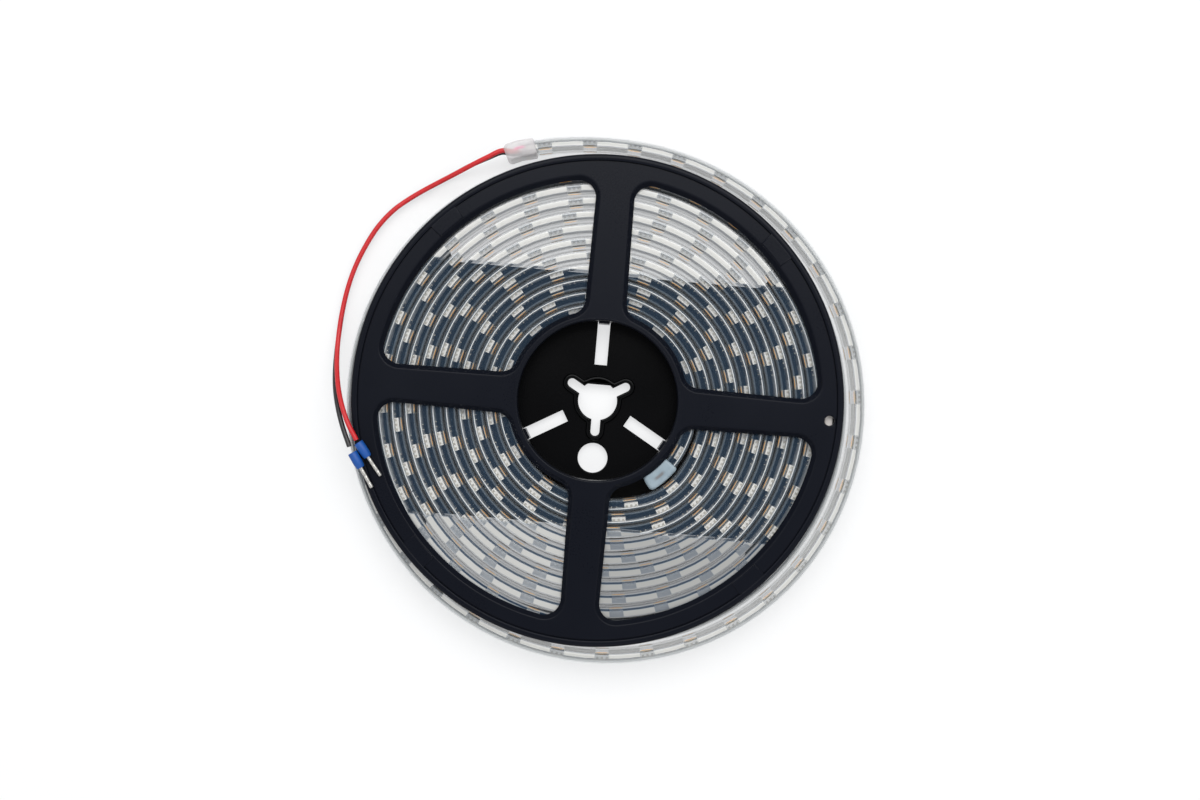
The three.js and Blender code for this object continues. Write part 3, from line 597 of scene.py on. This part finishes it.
def addLead(colour, finish, height):
    # the circuit's end, the end of the cap's chamber, then the chosen route
    perDegree = facetRadius(woundEnd) * rad
    wound = np.array([marks[-1] + leads["seat"] / perDegree, woundEnd + leads["chamber"] / perDegree])
    flat = polar(winding["start"] + wound, facetRadius(woundEnd) + strip["thickness"] / 2)
    path = smoothRoute(np.concatenate([raised(flat, height), np.array(leads[colour], dtype=float)]))
    form = Form()
    form.add(*sweepRound(path, leads["diameter"] / 2))
    wire = addPiece(f"{colour}Lead", form, [finish], 60, [f"{colour}_wire"])
    collarAndPin = addFerrule(colour)


addLead("red", "red", strip["middle"] + leads["spacing"] / 2)
addLead("black", "blackJacket", strip["middle"] - leads["spacing"] / 2)
print("leads")


def roundedBox(x0, x1, y0, y1, radius, steps=3):
    # anticlockwise round a rectangle, with each corner a quarter circle
    turns = np.linspace(0, 90, steps + 1)
    corners = [(x1 - radius, y1 - radius, 0), (x0 + radius, y1 - radius, 90),
               (x0 + radius, y0 + radius, 180), (x1 - radius, y0 + radius, 270)]
    return np.concatenate([np.array([x, y]) + polar(turns + start, radius) for x, y, start in corners])


def addSleeve():
    # two rounded rectangles carried along the winding, joined at the two open ends
    stations = np.linspace(0, woundEnd, int(winding["turns"] * strip["stationsPerTurn"]))
    half, wall, edge = strip["width"] / 2, strip["sideWall"], strip["edgeWall"]
    outer = roundedBox(0, strip["thickness"], -half, half, 0.45)
    inner = roundedBox(wall, strip["thickness"] - wall, -half + edge, half - edge, 0.35)
    pitches = np.interp(stations, woundSamples, pitchSamples)
    rings, uvs = [], []
    for profile in (outer, inner):
        offset, height = profile[None, :, 0], strip["middle"] + profile[None, :, 1]
        rings.append(onWinding(stations[:, None], offset, height))
        shares = np.tile(profile[:, 0] / strip["thickness"], len(stations))
        uvs.append(np.column_stack([np.repeat(pitches, len(profile)), shares]))
    rows, columns = rings[0].shape[:2]
    skin = gridFaces(rows, columns, closedColumns=True)
    inside, last = rows * columns, (rows - 1) * columns
    cavity = skin[:, ::-1] + inside
    j = np.arange(columns)
    k = (j + 1) % columns
    ends = np.concatenate([np.stack([j, k, k + inside, j + inside], axis=-1),
                           np.stack([last + k, last + j, last + j + inside, last + k + inside], axis=-1)])
    sideways = np.abs(outer[j, 0] - outer[k, 0]) < 0.3
    skinSlots = np.tile(np.where(sideways, 1, 0), rows - 1)
    slots = np.concatenate([skinSlots, np.full(len(cavity), 2), np.zeros(len(ends))])
    form = Form()
    form.add(np.concatenate(rings), [np.concatenate([skin, cavity, ends])], slots, np.concatenate(uvs))
    addPiece("clearSleeve", form, ["skin", "side", "cavity"], 40, ["strip_sleeve"])


def lampFrames(wound):
    # at each place on the circuit: a point on its hubward face, the way along and the way to the hub
    offset = circuitOffset - strip["circuitThickness"]
    spot = onWinding(wound, offset, strip["middle"])
    along = unit(onWinding(wound + 0.5, offset, 0.0) - onWinding(wound - 0.5, offset, 0.0))
    hubward = np.stack([-along[:, 1], along[:, 0], 0 * along[:, 0]], axis=-1)
    return spot, along, hubward


def placeCopies(shape, spot, along, hubward):
    # every point of the shape, (along, up, out), set at every place
    up = np.array([0, 0, 1.0])
    turned = shape[None, :, 0:1] * along[:, None] + shape[None, :, 1:2] * up
    return spot[:, None] + turned + shape[None, :, 2:3] * hubward[:, None]


def addCopies(form, shape, faces, frames, slot):
    places = placeCopies(shape, *frames)
    shift = (np.arange(len(places)) * len(shape))[:, None, None]
    form.add(places, [(face[None] + shift).reshape(-1, face.shape[1]) for face in faces], slot)


def boxShape(x0, x1, y0, y1, z0, z1):
    corners = np.array([[x, y, z] for z in (z0, z1) for x, y in ((x0, y0), (x1, y0), (x1, y1), (x0, y1))])
    faces = np.array([[3, 2, 1, 0], [4, 5, 6, 7], [0, 1, 5, 4], [1, 2, 6, 5], [2, 3, 7, 6], [3, 0, 4, 7]])
    return corners, [faces]


# A lamp, and what else stands on each circuit. Boxes give their place along the strip, across it and out from
# its face, but a pin's parts give half their length along it.
loopPoints = 12
lampSize = {
    "half": 2.5, "foot": 0.15, "height": 1.6, "shoulder": 0.12, "bevel": 0.1, "window": 2.0, "funnel": 0.25,
    "recess": 0.2, "dome": 0.08,
}
section = {
    "lamps": 30, "stationsPerLamp": 6, "cut": 0.15, "pins": (-1.7, 0, 1.7),
    "pinFoot": (0.45, (2.4, 3.1), (0, 0.28)), "pinSide": (0.4, (2.5, 2.62), (0.2, 0.95)),
    "resistorAfter": 0.1, "resistor": (-0.75, 0.75, 0.4, 1.6, 0.05, 0.55),
    "resistorEnds": ((-1.05, -0.75, 0.4, 1.6, 0, 0.57), (0.75, 1.05, 0.4, 1.6, 0, 0.57)),
}


def squareLoop(half, height):
    # an equal number of points on each side of a square
    side = np.linspace(-half, half, loopPoints // 4 + 1)[:-1]
    edge = np.full(len(side), half)
    x, y = np.concatenate([side, edge, -side, -edge]), np.concatenate([-edge, side, edge, -side])
    return raised(np.column_stack([x, y]), height)


def roundLoop(radius, height):
    return raised(polar(np.arange(loopPoints) * 360 / loopPoints + 225, radius), height)


def lampShape():
    # square loops up the sides, then round loops down into the window, closed at both ends
    size = lampSize
    half, height, floor = size["half"], size["height"], size["height"] - size["recess"]
    loops = [squareLoop(half, size["foot"]), squareLoop(half, height - size["shoulder"]),
             squareLoop(half - size["bevel"], height), roundLoop(size["window"], height),
             roundLoop(size["window"] - size["funnel"], floor)]
    middle = np.array([[0, 0, size["foot"]], [0, 0, floor + size["dome"]]])
    j = np.arange(loopPoints)
    k = (j + 1) % loopPoints
    last, count = (len(loops) - 1) * loopPoints, len(loops) * loopPoints
    ends = np.concatenate([np.stack([j, k, np.full(loopPoints, count)], axis=-1),
                           np.stack([last + k, last + j, np.full(loopPoints, count + 1)], axis=-1)])
    return np.concatenate(loops + [middle]), gridFaces(len(loops), loopPoints, closedColumns=True), ends


def addRibbon(form, ownMarks):
    # a thin rectangle carried along the winding, a little short of its marks at both ends
    perLamp, lamps, width = section["stationsPerLamp"], section["lamps"], strip["circuitWidth"]
    ends = ownMarks.copy()
    trim = section["cut"] / (windingRadius(ends[[0, -1]]) * rad)
    ends[0] += trim[0]
    ends[-1] -= trim[1]
    stations = np.interp(np.linspace(0, lamps, perLamp * lamps + 1), np.arange(lamps + 1), ends)
    offset = np.array([-strip["circuitThickness"], 0, 0, -strip["circuitThickness"]])
    height = np.array([-1, -1, 1, 1]) * width / 2
    ribbon = onWinding(stations[:, None], circuitOffset + offset[None], strip["middle"] + height[None])
    pitches = np.interp(stations, woundSamples, pitchSamples)
    uvs = np.column_stack([np.repeat(pitches, 4), np.tile(height / width + 0.5, len(stations))])
    form.add(ribbon, tubeFaces(len(stations), 4), 0, uvs)


def addCircuitSection(index):
    # the ribbon, its lamps, each with three pins a side, and a resistor between each two
    count = section["lamps"]
    ownMarks = marks[index * count: (index + 1) * count + 1]
    form = Form()
    addRibbon(form, ownMarks)
    frames = lampFrames((ownMarks[:-1] + ownMarks[1:]) / 2)
    points, sides, ends = lampShape()
    places = placeCopies(points, *frames)
    shift = (np.arange(count) * len(points))[:, None, None]
    slots = np.concatenate([np.full(len(sides) * count, 1), np.tile(np.repeat([1, 2], loopPoints), count)])
    form.add(places, [(sides[None] + shift).reshape(-1, 4), (ends[None] + shift).reshape(-1, 3)], slots)
    for side in (-1, 1):
        for pin in section["pins"]:
            for half, across, heights in (section["pinFoot"], section["pinSide"]):
                edges = sorted(side * edge for edge in across)
                addCopies(form, *boxShape(pin - half, pin + half, *edges, *heights), frames, 3)
    between = lampFrames(ownMarks[:-1] + section["resistorAfter"] * (marks[1] - marks[0]))
    addCopies(form, *boxShape(*section["resistor"]), between, 4)
    for end in section["resistorEnds"]:
        addCopies(form, *boxShape(*end), between, 3)
    number = f"{index + 1:02d}"
    addPiece(f"circuit{number}", form, ["circuit", "lampBody", "phosphor", "pins", "resistor"],
             35, [f"circuit_section_{number}"])


addSleeve()
print("sleeve")
for sectionIndex in range(strip["lamps"] // section["lamps"]):
    addCircuitSection(sectionIndex)
print("circuits")


# The reel's two halves. Sizes that both share stand first.
reel = {
    "radius": 89, "beadWidth": 2.3, "barrelRadius": 30.1, "barrelWall": 1.1, "barrelJoint": 9.1,
    "jointGap": 0.15, "thickness": 2, "rimSegments": 240,
}
front = {
    "underside": 15.8, "top": 17.8, "faceTop": 17.5, "rimWidth": 9.1, "hubRingWidth": 2.4,
    "spokeWidth": 15.8, "taper": 0.72, "corner": 6, "padAngles": (45, 135, 225, 315), "padWidth": 11.5,
    "padInner": 81.7, "rimHole": 1.8, "rimHoleFromEdge": 5, "hookAngles": (90, 210, 330), "hookWidth": 4.0,
    "hookThickness": 0.8, "hookBarb": 0.8, "hookHeights": (3.7, 4.6, 5.5, 9.4, 13.8),
}
rear = {
    "rimWidth": 9, "windowFromCentre": 46.6, "corner": 5, "spindleRadius": 7.2, "keyWidth": 3.3,
    "keyReach": 13.1, "keyAngles": (30, 150, 270), "collarWidth": 1.8, "collarTop": 3.5, "slotWidth": 4.6,
    "slotStart": 13.2, "pinHole": 5.5, "pinHoleFromCentre": 21.3, "catchFloor": 3.4, "catchTop": 5.8,
}
rimOut, rimIn = reel["radius"], reel["radius"] - reel["beadWidth"]
barrelOut, barrelIn = reel["barrelRadius"], reel["barrelRadius"] - reel["barrelWall"]


def aroundAxis(profile, angles):
    # every profile point (radius, height) at every angle about the axis
    radius, height = np.asarray(profile, dtype=float).T
    return raised(polar(angles[:, None], radius[None]), height)


def revolve(profile, segments=180):
    points = aroundAxis(profile, np.arange(segments) * 360 / segments)
    return points, [gridFaces(segments, len(profile), closedRows=True, closedColumns=True)]


# An edge's profile: how far into the material and how high each ring lies, from the lower face to the upper
def roundedEdge(floor, top, radius=0.3):
    turns = np.linspace(0, 90, 5) * rad
    lower = [(0.5, floor), (0.2, floor), (0, floor + 0.2)]
    upper = [(radius * (1 - math.cos(a)), top - radius + radius * math.sin(a)) for a in turns]
    return lower + upper + [(radius + 0.3, top)]


def slopedEdge(floor, top, width=1.9, shoulder=0.7):
    # a slope from the lower face, then a soft shoulder
    turns = np.linspace(55, 0, 6) * rad
    upper = [(width - shoulder * math.sin(a), top - shoulder * (1 - math.cos(a))) for a in turns]
    return [(0.5, floor), (0.2, floor), (0, floor + 0.12)] + upper + [(width + 0.35, top)]


def plate(form, outline, holes):
    # an edge is a loop, anticlockwise, and its profile: rings from face to face. Triangles fill the faces.
    edges, quads, count = [], [], 0
    for index, (loop, profile) in enumerate([outline, *holes]):
        tangent = unit(np.roll(loop, -1, axis=0) - np.roll(loop, 1, axis=0))
        inward = np.stack([-tangent[:, 1], tangent[:, 0]], axis=-1) * (1 if index == 0 else -1)
        rings = [raised(loop + push * inward, height) for push, height in profile]
        grid = gridFaces(len(rings), len(loop), closedColumns=True)
        quads.append((grid[:, ::-1] if index == 0 else grid) + count)
        numbers = count + np.arange(len(rings) * len(loop)).reshape(len(rings), -1)
        edges.append((rings, numbers))
        count += numbers.size
    points = np.concatenate([ring for rings, _ in edges for ring in rings])
    triangles = []
    for level, upward in ((0, False), (-1, True)):
        members = np.concatenate([numbers[level] for _, numbers in edges])
        border = [[Vector(point) for point in rings[level]] for rings, _ in edges]
        found = members[np.array(tessellate_polygon(border))]
        flat = points[found][:, :, :2]
        area = np.cross(flat[:, 1] - flat[:, 0], flat[:, 2] - flat[:, 0])
        triangles.append(np.where((area > 0)[:, None] == upward, found, found[:, ::-1]))
    form.add(points, [np.concatenate(quads), np.concatenate(triangles)])


def circle(radius, segments, centre=(0, 0)):
    return polar(np.arange(segments) * 360 / segments, np.full(segments, float(radius))) + np.array(centre)


def turnLoop(loop, angle):
    c, s = math.cos(angle * rad), math.sin(angle * rad)
    return loop @ np.array([[c, s], [-s, c]])


def filletTurn(normalAngle, alongAngle, offset, fillet, arcRadius, outside):
    # the fillet's centre, where it touches the straight edge and where it touches the arc
    reach = arcRadius + fillet if outside else arcRadius - fillet
    away = offset + fillet
    centre = polar(normalAngle, away) + polar(alongAngle, math.sqrt(reach**2 - away**2))
    return centre, centre - polar(normalAngle, fillet), centre * arcRadius / reach


def arcPoints(centre, start, end, clockwise, count):
    # points on the arc about a centre that leads from one point to another
    a = math.atan2(*(start - centre)[::-1])
    b = math.atan2(*(end - centre)[::-1])
    b += -2 * math.pi if clockwise and b > a else 2 * math.pi if not clockwise and b < a else 0
    turns = np.linspace(a, b, count)
    return centre + np.hypot(*(start - centre)) * np.stack([np.cos(turns), np.sin(turns)], axis=-1)


def filletPoints(corner, toArc):
    # from the straight edge round to the arc, or back
    centre, straight, arc = corner
    return arcPoints(centre, *((straight, arc) if toArc else (arc, straight)), False, 17)


def frontWindow():
    # two straight edges beside the spokes, two arcs and four fillets, anticlockwise
    taper, origin, half, fillet = front["taper"], np.zeros(2), front["spokeWidth"] / 2, front["corner"]
    outerArc, innerArc = rimOut - front["rimWidth"], barrelOut + front["hubRingWidth"]
    lowOut = filletTurn(90 - taper, -taper, half, fillet, outerArc, False)
    highOut = filletTurn(taper, 90 + taper, half, fillet, outerArc, False)
    highIn = filletTurn(taper, 90 + taper, half, fillet, innerArc, True)
    lowIn = filletTurn(90 - taper, -taper, half, fillet, innerArc, True)
    return np.concatenate([
        filletPoints(lowOut, True), arcPoints(origin, lowOut[2], highOut[2], False, 50)[1:-1],
        filletPoints(highOut, False), np.linspace(highOut[1], highIn[1], 8)[1:-1],
        filletPoints(highIn, True), arcPoints(origin, highIn[2], lowIn[2], True, 26)[1:-1],
        filletPoints(lowIn, False), np.linspace(lowIn[1], lowOut[1], 8)[1:-1],
    ])


def addFrontFlange():
    form = Form()
    faceTop, under, top = front["faceTop"], front["underside"], front["top"]
    flatEdge = [(0, under), (0, faceTop)]
    window = slopedEdge(under, faceTop)
    rimHole = circle(front["rimHole"], 32, (rimOut - front["rimHoleFromEdge"], 0))
    holes = [(turnLoop(frontWindow(), angle), window) for angle in (0, 90, 180, 270)]
    holes += [(circle(barrelOut - 0.5, 180), flatEdge), (rimHole, roundedEdge(under, faceTop, 0.35))]
    plate(form, (circle(rimIn - 0.5, reel["rimSegments"]), flatEdge), holes)

    # the bead round the edge with a groove beside it, and the barrel's upper half with a soft lip
    form.add(*revolve([
        (rimIn - 0.6, under + 0.02), (rimOut - 0.6, under), (rimOut - 0.2, under + 0.15), (rimOut, top - 1.4),
        (rimOut, top - 0.9), (rimOut - 0.15, top - 0.45), (rimOut - 0.5, top - 0.14), (rimOut - 1, top),
        (rimIn + 0.35, top), (rimIn + 0.1, top - 0.1), (rimIn, top - 0.25), (rimIn - 0.05, top - 0.75),
        (rimIn - 0.15, top - 0.85), (rimIn - 0.6, top - 0.85),
    ], reel["rimSegments"]))
    joint = reel["barrelJoint"] + reel["jointGap"]
    form.add(*revolve([
        (barrelIn, joint), (barrelOut, joint), (barrelOut, faceTop - 0.2), (barrelOut - 0.4, faceTop + 0.01),
        (barrelIn + 0.55, faceTop), (barrelIn + 0.25, faceTop - 0.1), (barrelIn + 0.06, faceTop - 0.3),
        (barrelIn, faceTop - 0.6),
    ]))

    # pads: sectors a little above the face
    half = front["padWidth"] / rimIn / rad / 2
    across = np.linspace(-half, half, 15)
    for middle in front["padAngles"]:
        arcs = [polar(middle + across, rimIn + 0.2), polar(middle + across[::-1], front["padInner"])]
        plate(form, (np.concatenate(arcs), roundedEdge(faceTop - 0.5, top, 0.26)), [])

    # hooks: a side outline as wide as the tongue
    outside, root = barrelIn - 0.2, barrelIn + 0.5
    inside, barb = outside - front["hookThickness"], outside + front["hookBarb"]
    foot, barbLow, barbHigh, rootLow, rootHigh = front["hookHeights"]
    side = np.array([(inside, foot), (outside, foot), (barb, barbLow), (barb, barbHigh), (outside, barbHigh),
                     (outside, rootLow), (root, rootLow), (root, rootHigh), (inside, rootHigh)])
    half, count = front["hookWidth"] / 2, len(side)
    hook = np.concatenate([np.insert(side, 1, y, axis=1) for y in (-half, half)])
    ends = np.array([np.arange(count), 2 * count - 1 - np.arange(count)])
    for angle in front["hookAngles"]:
        c, s = math.cos(angle * rad), math.sin(angle * rad)
        turned = hook @ np.array([[c, s, 0], [-s, c, 0], [0, 0, 1]])
        form.add(turned, [gridFaces(2, count, closedColumns=True), ends])
    addPiece("spokedFlange", form, ["black"], 35, ["front_flange"])


def rearWindow():
    # a straight edge, an arc and two fillets, anticlockwise
    arc, offset, fillet = rimOut - rear["rimWidth"], rear["windowFromCentre"], rear["corner"]
    right = filletTurn(90, 0, offset, fillet, arc, False)
    left = filletTurn(90, 180, offset, fillet, arc, False)
    return np.concatenate([
        filletPoints(right, True), arcPoints(np.zeros(2), right[2], left[2], False, 80)[1:-1],
        filletPoints(left, False), np.linspace(left[1], right[1], 10)[1:-1],
    ])


def spindleOutline(margin):
    # a circle with three round-ended arms, grown by a margin, anticlockwise
    half, radius = rear["keyWidth"] / 2 + margin, rear["spindleRadius"] + margin
    root = math.asin(half / radius) / rad
    tip = rear["keyReach"] - rear["keyWidth"] / 2
    runs = []
    for angle in rear["keyAngles"]:
        runs.append(polar(angle, tip) + polar(angle + np.linspace(-90, 90, 13), np.full(13, half)))
        runs.append(polar(np.linspace(angle + root, angle + 120 - root, 22), np.full(22, radius)))
    return np.concatenate(runs)


def barrelRing(form, floor, top, angles=None):
    # the barrel's wall between two heights, all the way round or past the given angles
    profile = [(barrelIn, floor), (barrelOut, floor), (barrelOut, top), (barrelIn, top)]
    if angles is None:
        form.add(*revolve(profile))
    else:
        form.add(aroundAxis(profile, angles), tubeFaces(len(angles), len(profile)))


def addRearFlange():
    form = Form()
    thickness = reel["thickness"]
    edge, flatEdge = roundedEdge(0, thickness), [(0, 0), (0, thickness)]
    start, half = rear["slotStart"], rear["slotWidth"] / 2
    slot = np.array([(start, -half), (barrelIn, -half), (barrelIn, half), (start, half)])
    holes = [(rearWindow(), edge), (-rearWindow(), edge), (spindleOutline(0), flatEdge)]
    holes += [(turnLoop(slot, angle), flatEdge) for angle in front["hookAngles"]]
    holes += [(circle(rear["pinHole"], 64, (0, -rear["pinHoleFromCentre"])), edge)]
    plate(form, (circle(rimIn + 0.4, reel["rimSegments"]), flatEdge), holes)
    form.add(*revolve([
        (rimIn + 0.3, 0.01), (rimOut - 1, 0), (rimOut - 0.5, 0.14), (rimOut - 0.15, 0.45), (rimOut, 0.9),
        (rimOut, thickness - 0.6), (rimOut - 0.2, thickness - 0.2), (rimOut - 0.6, thickness),
        (rimIn + 0.3, thickness - 0.01),
    ], reel["rimSegments"]))

    # a raised collar with a rounded top round the keyed hole
    sink, top = thickness - 0.4, rear["collarTop"]
    collarEdge = [(0, sink)] + roundedEdge(thickness, top, 0.75)[3:]
    keyEdge = [(0, sink)] + roundedEdge(thickness, top, 0.45)[3:]
    plate(form, (spindleOutline(rear["collarWidth"]), collarEdge), [(spindleOutline(0), keyEdge)])

    # the barrel's lower half, open at three catches
    low, high = rear["catchFloor"], rear["catchTop"]
    opening = math.asin(half / barrelOut) / rad
    barrelRing(form, sink, low)
    for angle in front["hookAngles"]:
        barrelRing(form, low, high, angle + np.linspace(opening, 120 - opening, 48))
    barrelRing(form, high, reel["barrelJoint"] - reel["jointGap"])
    addPiece("keyedFlange", form, ["deepBlackAndShade"], 35, ["rear_flange"])


# End caps: a rounded box carried along the winding, past the sleeve's end. Each ring has a place along the
# cap and an inset there.
cap = {
    "wall": 0.8, "width": 13.2, "grip": 6, "round": 1.1, "chordShare": 0.35,
    "places": (0, 0.12, 0.35, 0.7, 1.2, 3, 5, 6, 8, 9.4, 10.0, 10.45, 10.78, 11),
    "insets": (0.7, 0.35, 0.12, 0.02, 0, 0, 0, 0, 0, 0, 0.15, 0.4, 0.75, 1.2),
}


def addEndCap(name, direction, finish, replaced):
    end = woundEnd if direction > 0 else 0.0
    perDegree = windingRadius(np.array(end)) * rad
    shares = np.array(cap["places"]) / cap["places"][-1]
    wound = end + direction * (np.array(cap["places"]) - cap["grip"]) / perDegree
    wall, half, chord = cap["wall"], cap["width"] / 2, cap["chordShare"]
    rings, uvs = [], []
    for place, inset, share in zip(wound, cap["insets"], shares):
        profile = roundedBox(-wall + inset, strip["thickness"] + wall - inset, -half + inset, half - inset,
                             cap["round"], 4)
        radius = facetRadius(np.clip(place, 0, woundEnd)) * chord + windingRadius(place) * (1 - chord)
        flat = polar(np.full(len(profile), winding["start"] + place), radius + profile[:, 0])
        rings.append(raised(flat, strip["middle"] + profile[:, 1]))
        uvs.append(np.column_stack([np.full(len(profile), share), profile[:, 0] / strip["thickness"]]))
    form = Form()
    form.add(np.concatenate(rings), tubeFaces(len(rings), len(rings[0])), 0, np.concatenate(uvs))
    addPiece(name, form, [finish], 40, [replaced])


addFrontFlange()
addRearFlange()
print("reel")
addEndCap("startCap", -1, "innerCap", "inner_end_cap")
addEndCap("leadCap", 1, "outerCap", "outer_end_cap")
print("caps")

# The solder joints are the carried-over solids
for node in ("red_solder_joint", "black_solder_joint"):
    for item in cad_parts[node].material_slots:
        item.link = "OBJECT"
        item.material = finishes["solder"]

# Studio: a pale floor, a world that is brightest half way up, and one broad lamp above the far side
studio = {
    "floorHalf": 4.0, "floorDrop": 0.0003, "floorGlow": 0.64, "overhead": 0.3, "halfWayUp": 0.7,
    "lampPower": 14, "lampAt": (0.1, 0.7, 1.3), "lampTurn": (-28, 4, 0), "lampSize": (1.4, 1.0),
}


def addStudio():
    mesh = bpy.data.meshes.new("floor")
    half = studio["floorHalf"]
    corners = [(-half, -half), (half, -half), (half, half), (-half, half)]
    mesh.from_pydata([(*corner, -studio["floorDrop"]) for corner in corners], [], [(0, 1, 2, 3)])
    floor = addObject("floor", mesh)
    paper = Finish("paleFloor", roughness=0.9, baseColor=(0.9, 0.9, 0.9))
    glow = paper.node("ShaderNodeEmission", None, {"Color": (0.98, 0.99, 1), "Strength": 1.0})
    direct = paper.directView("Is Camera Ray", "Is Glossy Ray", "Is Transmission Ray")
    shaded = Link(paper, paper.shader.outputs[0])
    blend = paper.node("ShaderNodeMixShader", None, {0: direct * studio["floorGlow"], 1: shaded, 2: glow})
    paper.feed(paper.tree.nodes["Material Output"].inputs["Surface"], blend)
    mesh.materials.append(paper.material)

    # strength = overhead + halfWayUp (2 z)^2 (1 - z^2), where z is the direction's height
    world = bpy.data.worlds.new("studio")
    bpy.context.scene.world = world
    world.use_nodes = True
    sky = Nodes(world.node_tree)
    height = sky.outputs("ShaderNodeSeparateXYZ", ["Z"], {0: sky.node("ShaderNodeTexCoord", output=0)})[0]
    square = height * height
    level = studio["overhead"] + studio["halfWayUp"] * (4 * square * (1 - square))
    direct = sky.directView("Is Camera Ray", "Is Transmission Ray")
    back = world.node_tree.nodes["Background"]
    sky.feed(back.inputs["Strength"], level + direct * (1 - level))
    sky.feed(back.inputs["Color"], (1.0, 1.0, 1.0))

    data = bpy.data.lights.new("softLamp", "AREA")
    data.energy = studio["lampPower"]
    data.shape = "RECTANGLE"
    data.size, data.size_y = studio["lampSize"]
    lamp = addObject("softLamp", data)
    lamp.location = studio["lampAt"]
    lamp.rotation_euler = [angle * rad for angle in studio["lampTurn"]]


addStudio()
bpy.context.scene.view_settings.view_transform = "Standard"
print("studio")
